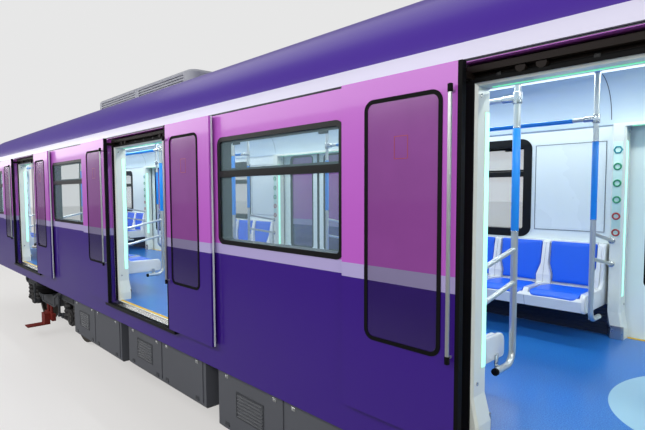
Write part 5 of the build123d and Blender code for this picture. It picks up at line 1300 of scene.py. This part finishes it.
def coupler_details():
    """The bolts of each coupler's head and of its contact box."""
    for letter, end in zip("ab", ENDS):
        parts = []
        for side in SIDES:
            outward = (0, side, 0)
            parts += [bolt((x, side * 0.110, 0.676), outward, 0.009, 0.007) for x in (9.465, 9.545)]
            parts += [bolt((9.470, side * 0.14905, z), outward, 0.014, 0.010) for z in (0.770, 0.942)]
            parts.append(bolt((9.42, side * 0.06, 1.0), (0, 0, 1), 0.014, 0.010))
        name, body = f"coupler_fittings_{letter}", f"coupler_{letter}"
        install(name, parts, [mirrored(hand=end)], "cast_bolt", body)


roof_seams()
fan_blades()
case_fittings()
pipes()
reservoir_bands()
compressor_fins()
on_bogies("axlebox_bolts", axlebox_bolt, AXLEBOX_BOLTS, "cast_bolt")
on_bogies("spring_cups", spring_cups, CORNERS, "cast")
on_bogies("frame_fittings", frame_fittings, CORNERS, "grey")
on_bogies("air_spring_plates", air_spring_plates, BOTH_SIDES, "grey")
on_bogies("motor_bolts", motor_bolt, MOTOR_BOLTS, "cast_bolt")
gangway_trims()
tread_plates()
end_handrails()
coupler_details()


# Stage, lights and camera

stage_floor = sheet((0.0, 0.0, cad_box[0][2]), (160.0, 160.0))
stage_floor.name = "stage_floor"
stage_paint, stage_tree, stage_shader = start_material("stage_paint", {
    "Base Color": paint(152, 151, 150), "Roughness": 0.7, "Emission Color": paint(216, 214, 212),
})
stage_path = put(stage_tree, "LightPath").outputs
stage_lift = maths(stage_tree, "MULTIPLY", stage_path["Is Camera Ray"], 0.76)
wire(stage_tree, stage_shader, {"Emission Strength": stage_lift})
# seen from below, the floor is clear
stage_side = put(stage_tree, "NewGeometry").outputs["Backfacing"]
stage_clear = put(stage_tree, "BsdfTransparent").outputs[0]
stage_mix = put(stage_tree, "MixShader", {0: stage_side, 1: stage_shader.outputs[0], 2: stage_clear})
wire(stage_tree, stage_tree.nodes["Material Output"], {"Surface": stage_mix.outputs[0]})
stage_floor.data.materials.append(stage_paint)

world = bpy.data.worlds.new("studio")
bpy.context.scene.world = world
world.use_nodes = True
world_tree = world.node_tree
backdrop = world_tree.nodes["Background"]
wire(world_tree, backdrop, {"Color": (0.82, 0.84, 0.88, 1.0), "Strength": 0.32})
seen = put(world_tree, "Background", {"Color": (0.80, 0.80, 0.80, 1.0), "Strength": 1.0})
path = put(world_tree, "LightPath").outputs
rays = maths(world_tree, "MAXIMUM", path["Is Camera Ray"], path["Is Transmission Ray"])
world_mix = put(world_tree, "MixShader", {0: rays, 1: backdrop.outputs[0], 2: seen.outputs[0]})
wire(world_tree, world_tree.nodes["World Output"], {"Surface": world_mix.outputs[0]})


def area_lamp(name, place, aim, size, power, colour=(1.0, 1.0, 1.0)):
    """A rectangular lamp that the camera doesn't see."""
    lamp = bpy.data.lights.new(name, "AREA")
    lamp.shape = "RECTANGLE"
    lamp.size, lamp.size_y = size
    lamp.energy = power
    lamp.color = colour
    holder = bpy.data.objects.new(name, lamp)
    bpy.context.scene.collection.objects.link(holder)
    holder.location = place
    holder.rotation_euler = (Vector(aim) - Vector(place)).to_track_quat("-Z", "Y").to_euler()
    holder.visible_camera = False


area_lamp("long_softbox", (-12.0, -6.0, 4.75), (-12.0, 0.0, 2.2), (50.0, 1.7), 1150.0)
area_lamp("far_softbox", (0.0, 8.0, 6.0), (0.0, 0.0, 2.0), (24.0, 3.0), 600.0)
area_lamp("top_softbox", (0.0, 0.0, 9.0), (0.0, 0.0, 0.0), (24.0, 5.0), 300.0)
for side in SIDES:
    y = side * 0.82
    area_lamp(f"saloon_lamp_{side}", (0.0, y, 3.30), (0.0, y, 0.0), (18.0, 0.1), 108.0, (0.93, 1.0, 0.96))

# the photo's viewpoint, in metres and degrees, its focal length for a 36 mm sensor, and how far the
# photo is cut off the lens's middle, as shares of its width
CAMERA_PLACE = (2.6110, -3.5507, 2.4394)
CAMERA_YAW = math.radians(49.169)
CAMERA_PITCH = math.radians(-3.603)
CAMERA_ROLL = math.radians(-0.547)
CAMERA_LENS = 27.28
CAMERA_SHIFT = (0.0700, 0.0082)

forward = Vector((
    -math.sin(CAMERA_YAW) * math.cos(CAMERA_PITCH),
    math.cos(CAMERA_YAW) * math.cos(CAMERA_PITCH),
    math.sin(CAMERA_PITCH),
))
level = Vector((math.cos(CAMERA_YAW), math.sin(CAMERA_YAW), 0.0))
upright = level.cross(forward)
right = level * math.cos(CAMERA_ROLL) + upright * math.sin(CAMERA_ROLL)
above = upright * math.cos(CAMERA_ROLL) - level * math.sin(CAMERA_ROLL)
camera_data = bpy.data.cameras.new("camera")
camera_data.lens = CAMERA_LENS
camera_data.sensor_width = 36.0
camera_data.shift_x, camera_data.shift_y = CAMERA_SHIFT
camera = bpy.data.objects.new("camera", camera_data)
bpy.context.scene.collection.objects.link(camera)
camera.matrix_world = moved(*CAMERA_PLACE) @ Matrix((right, above, -forward)).transposed().to_4x4()
bpy.context.scene.camera = camera
bpy.context.scene.view_settings.view_transform = "Standard"
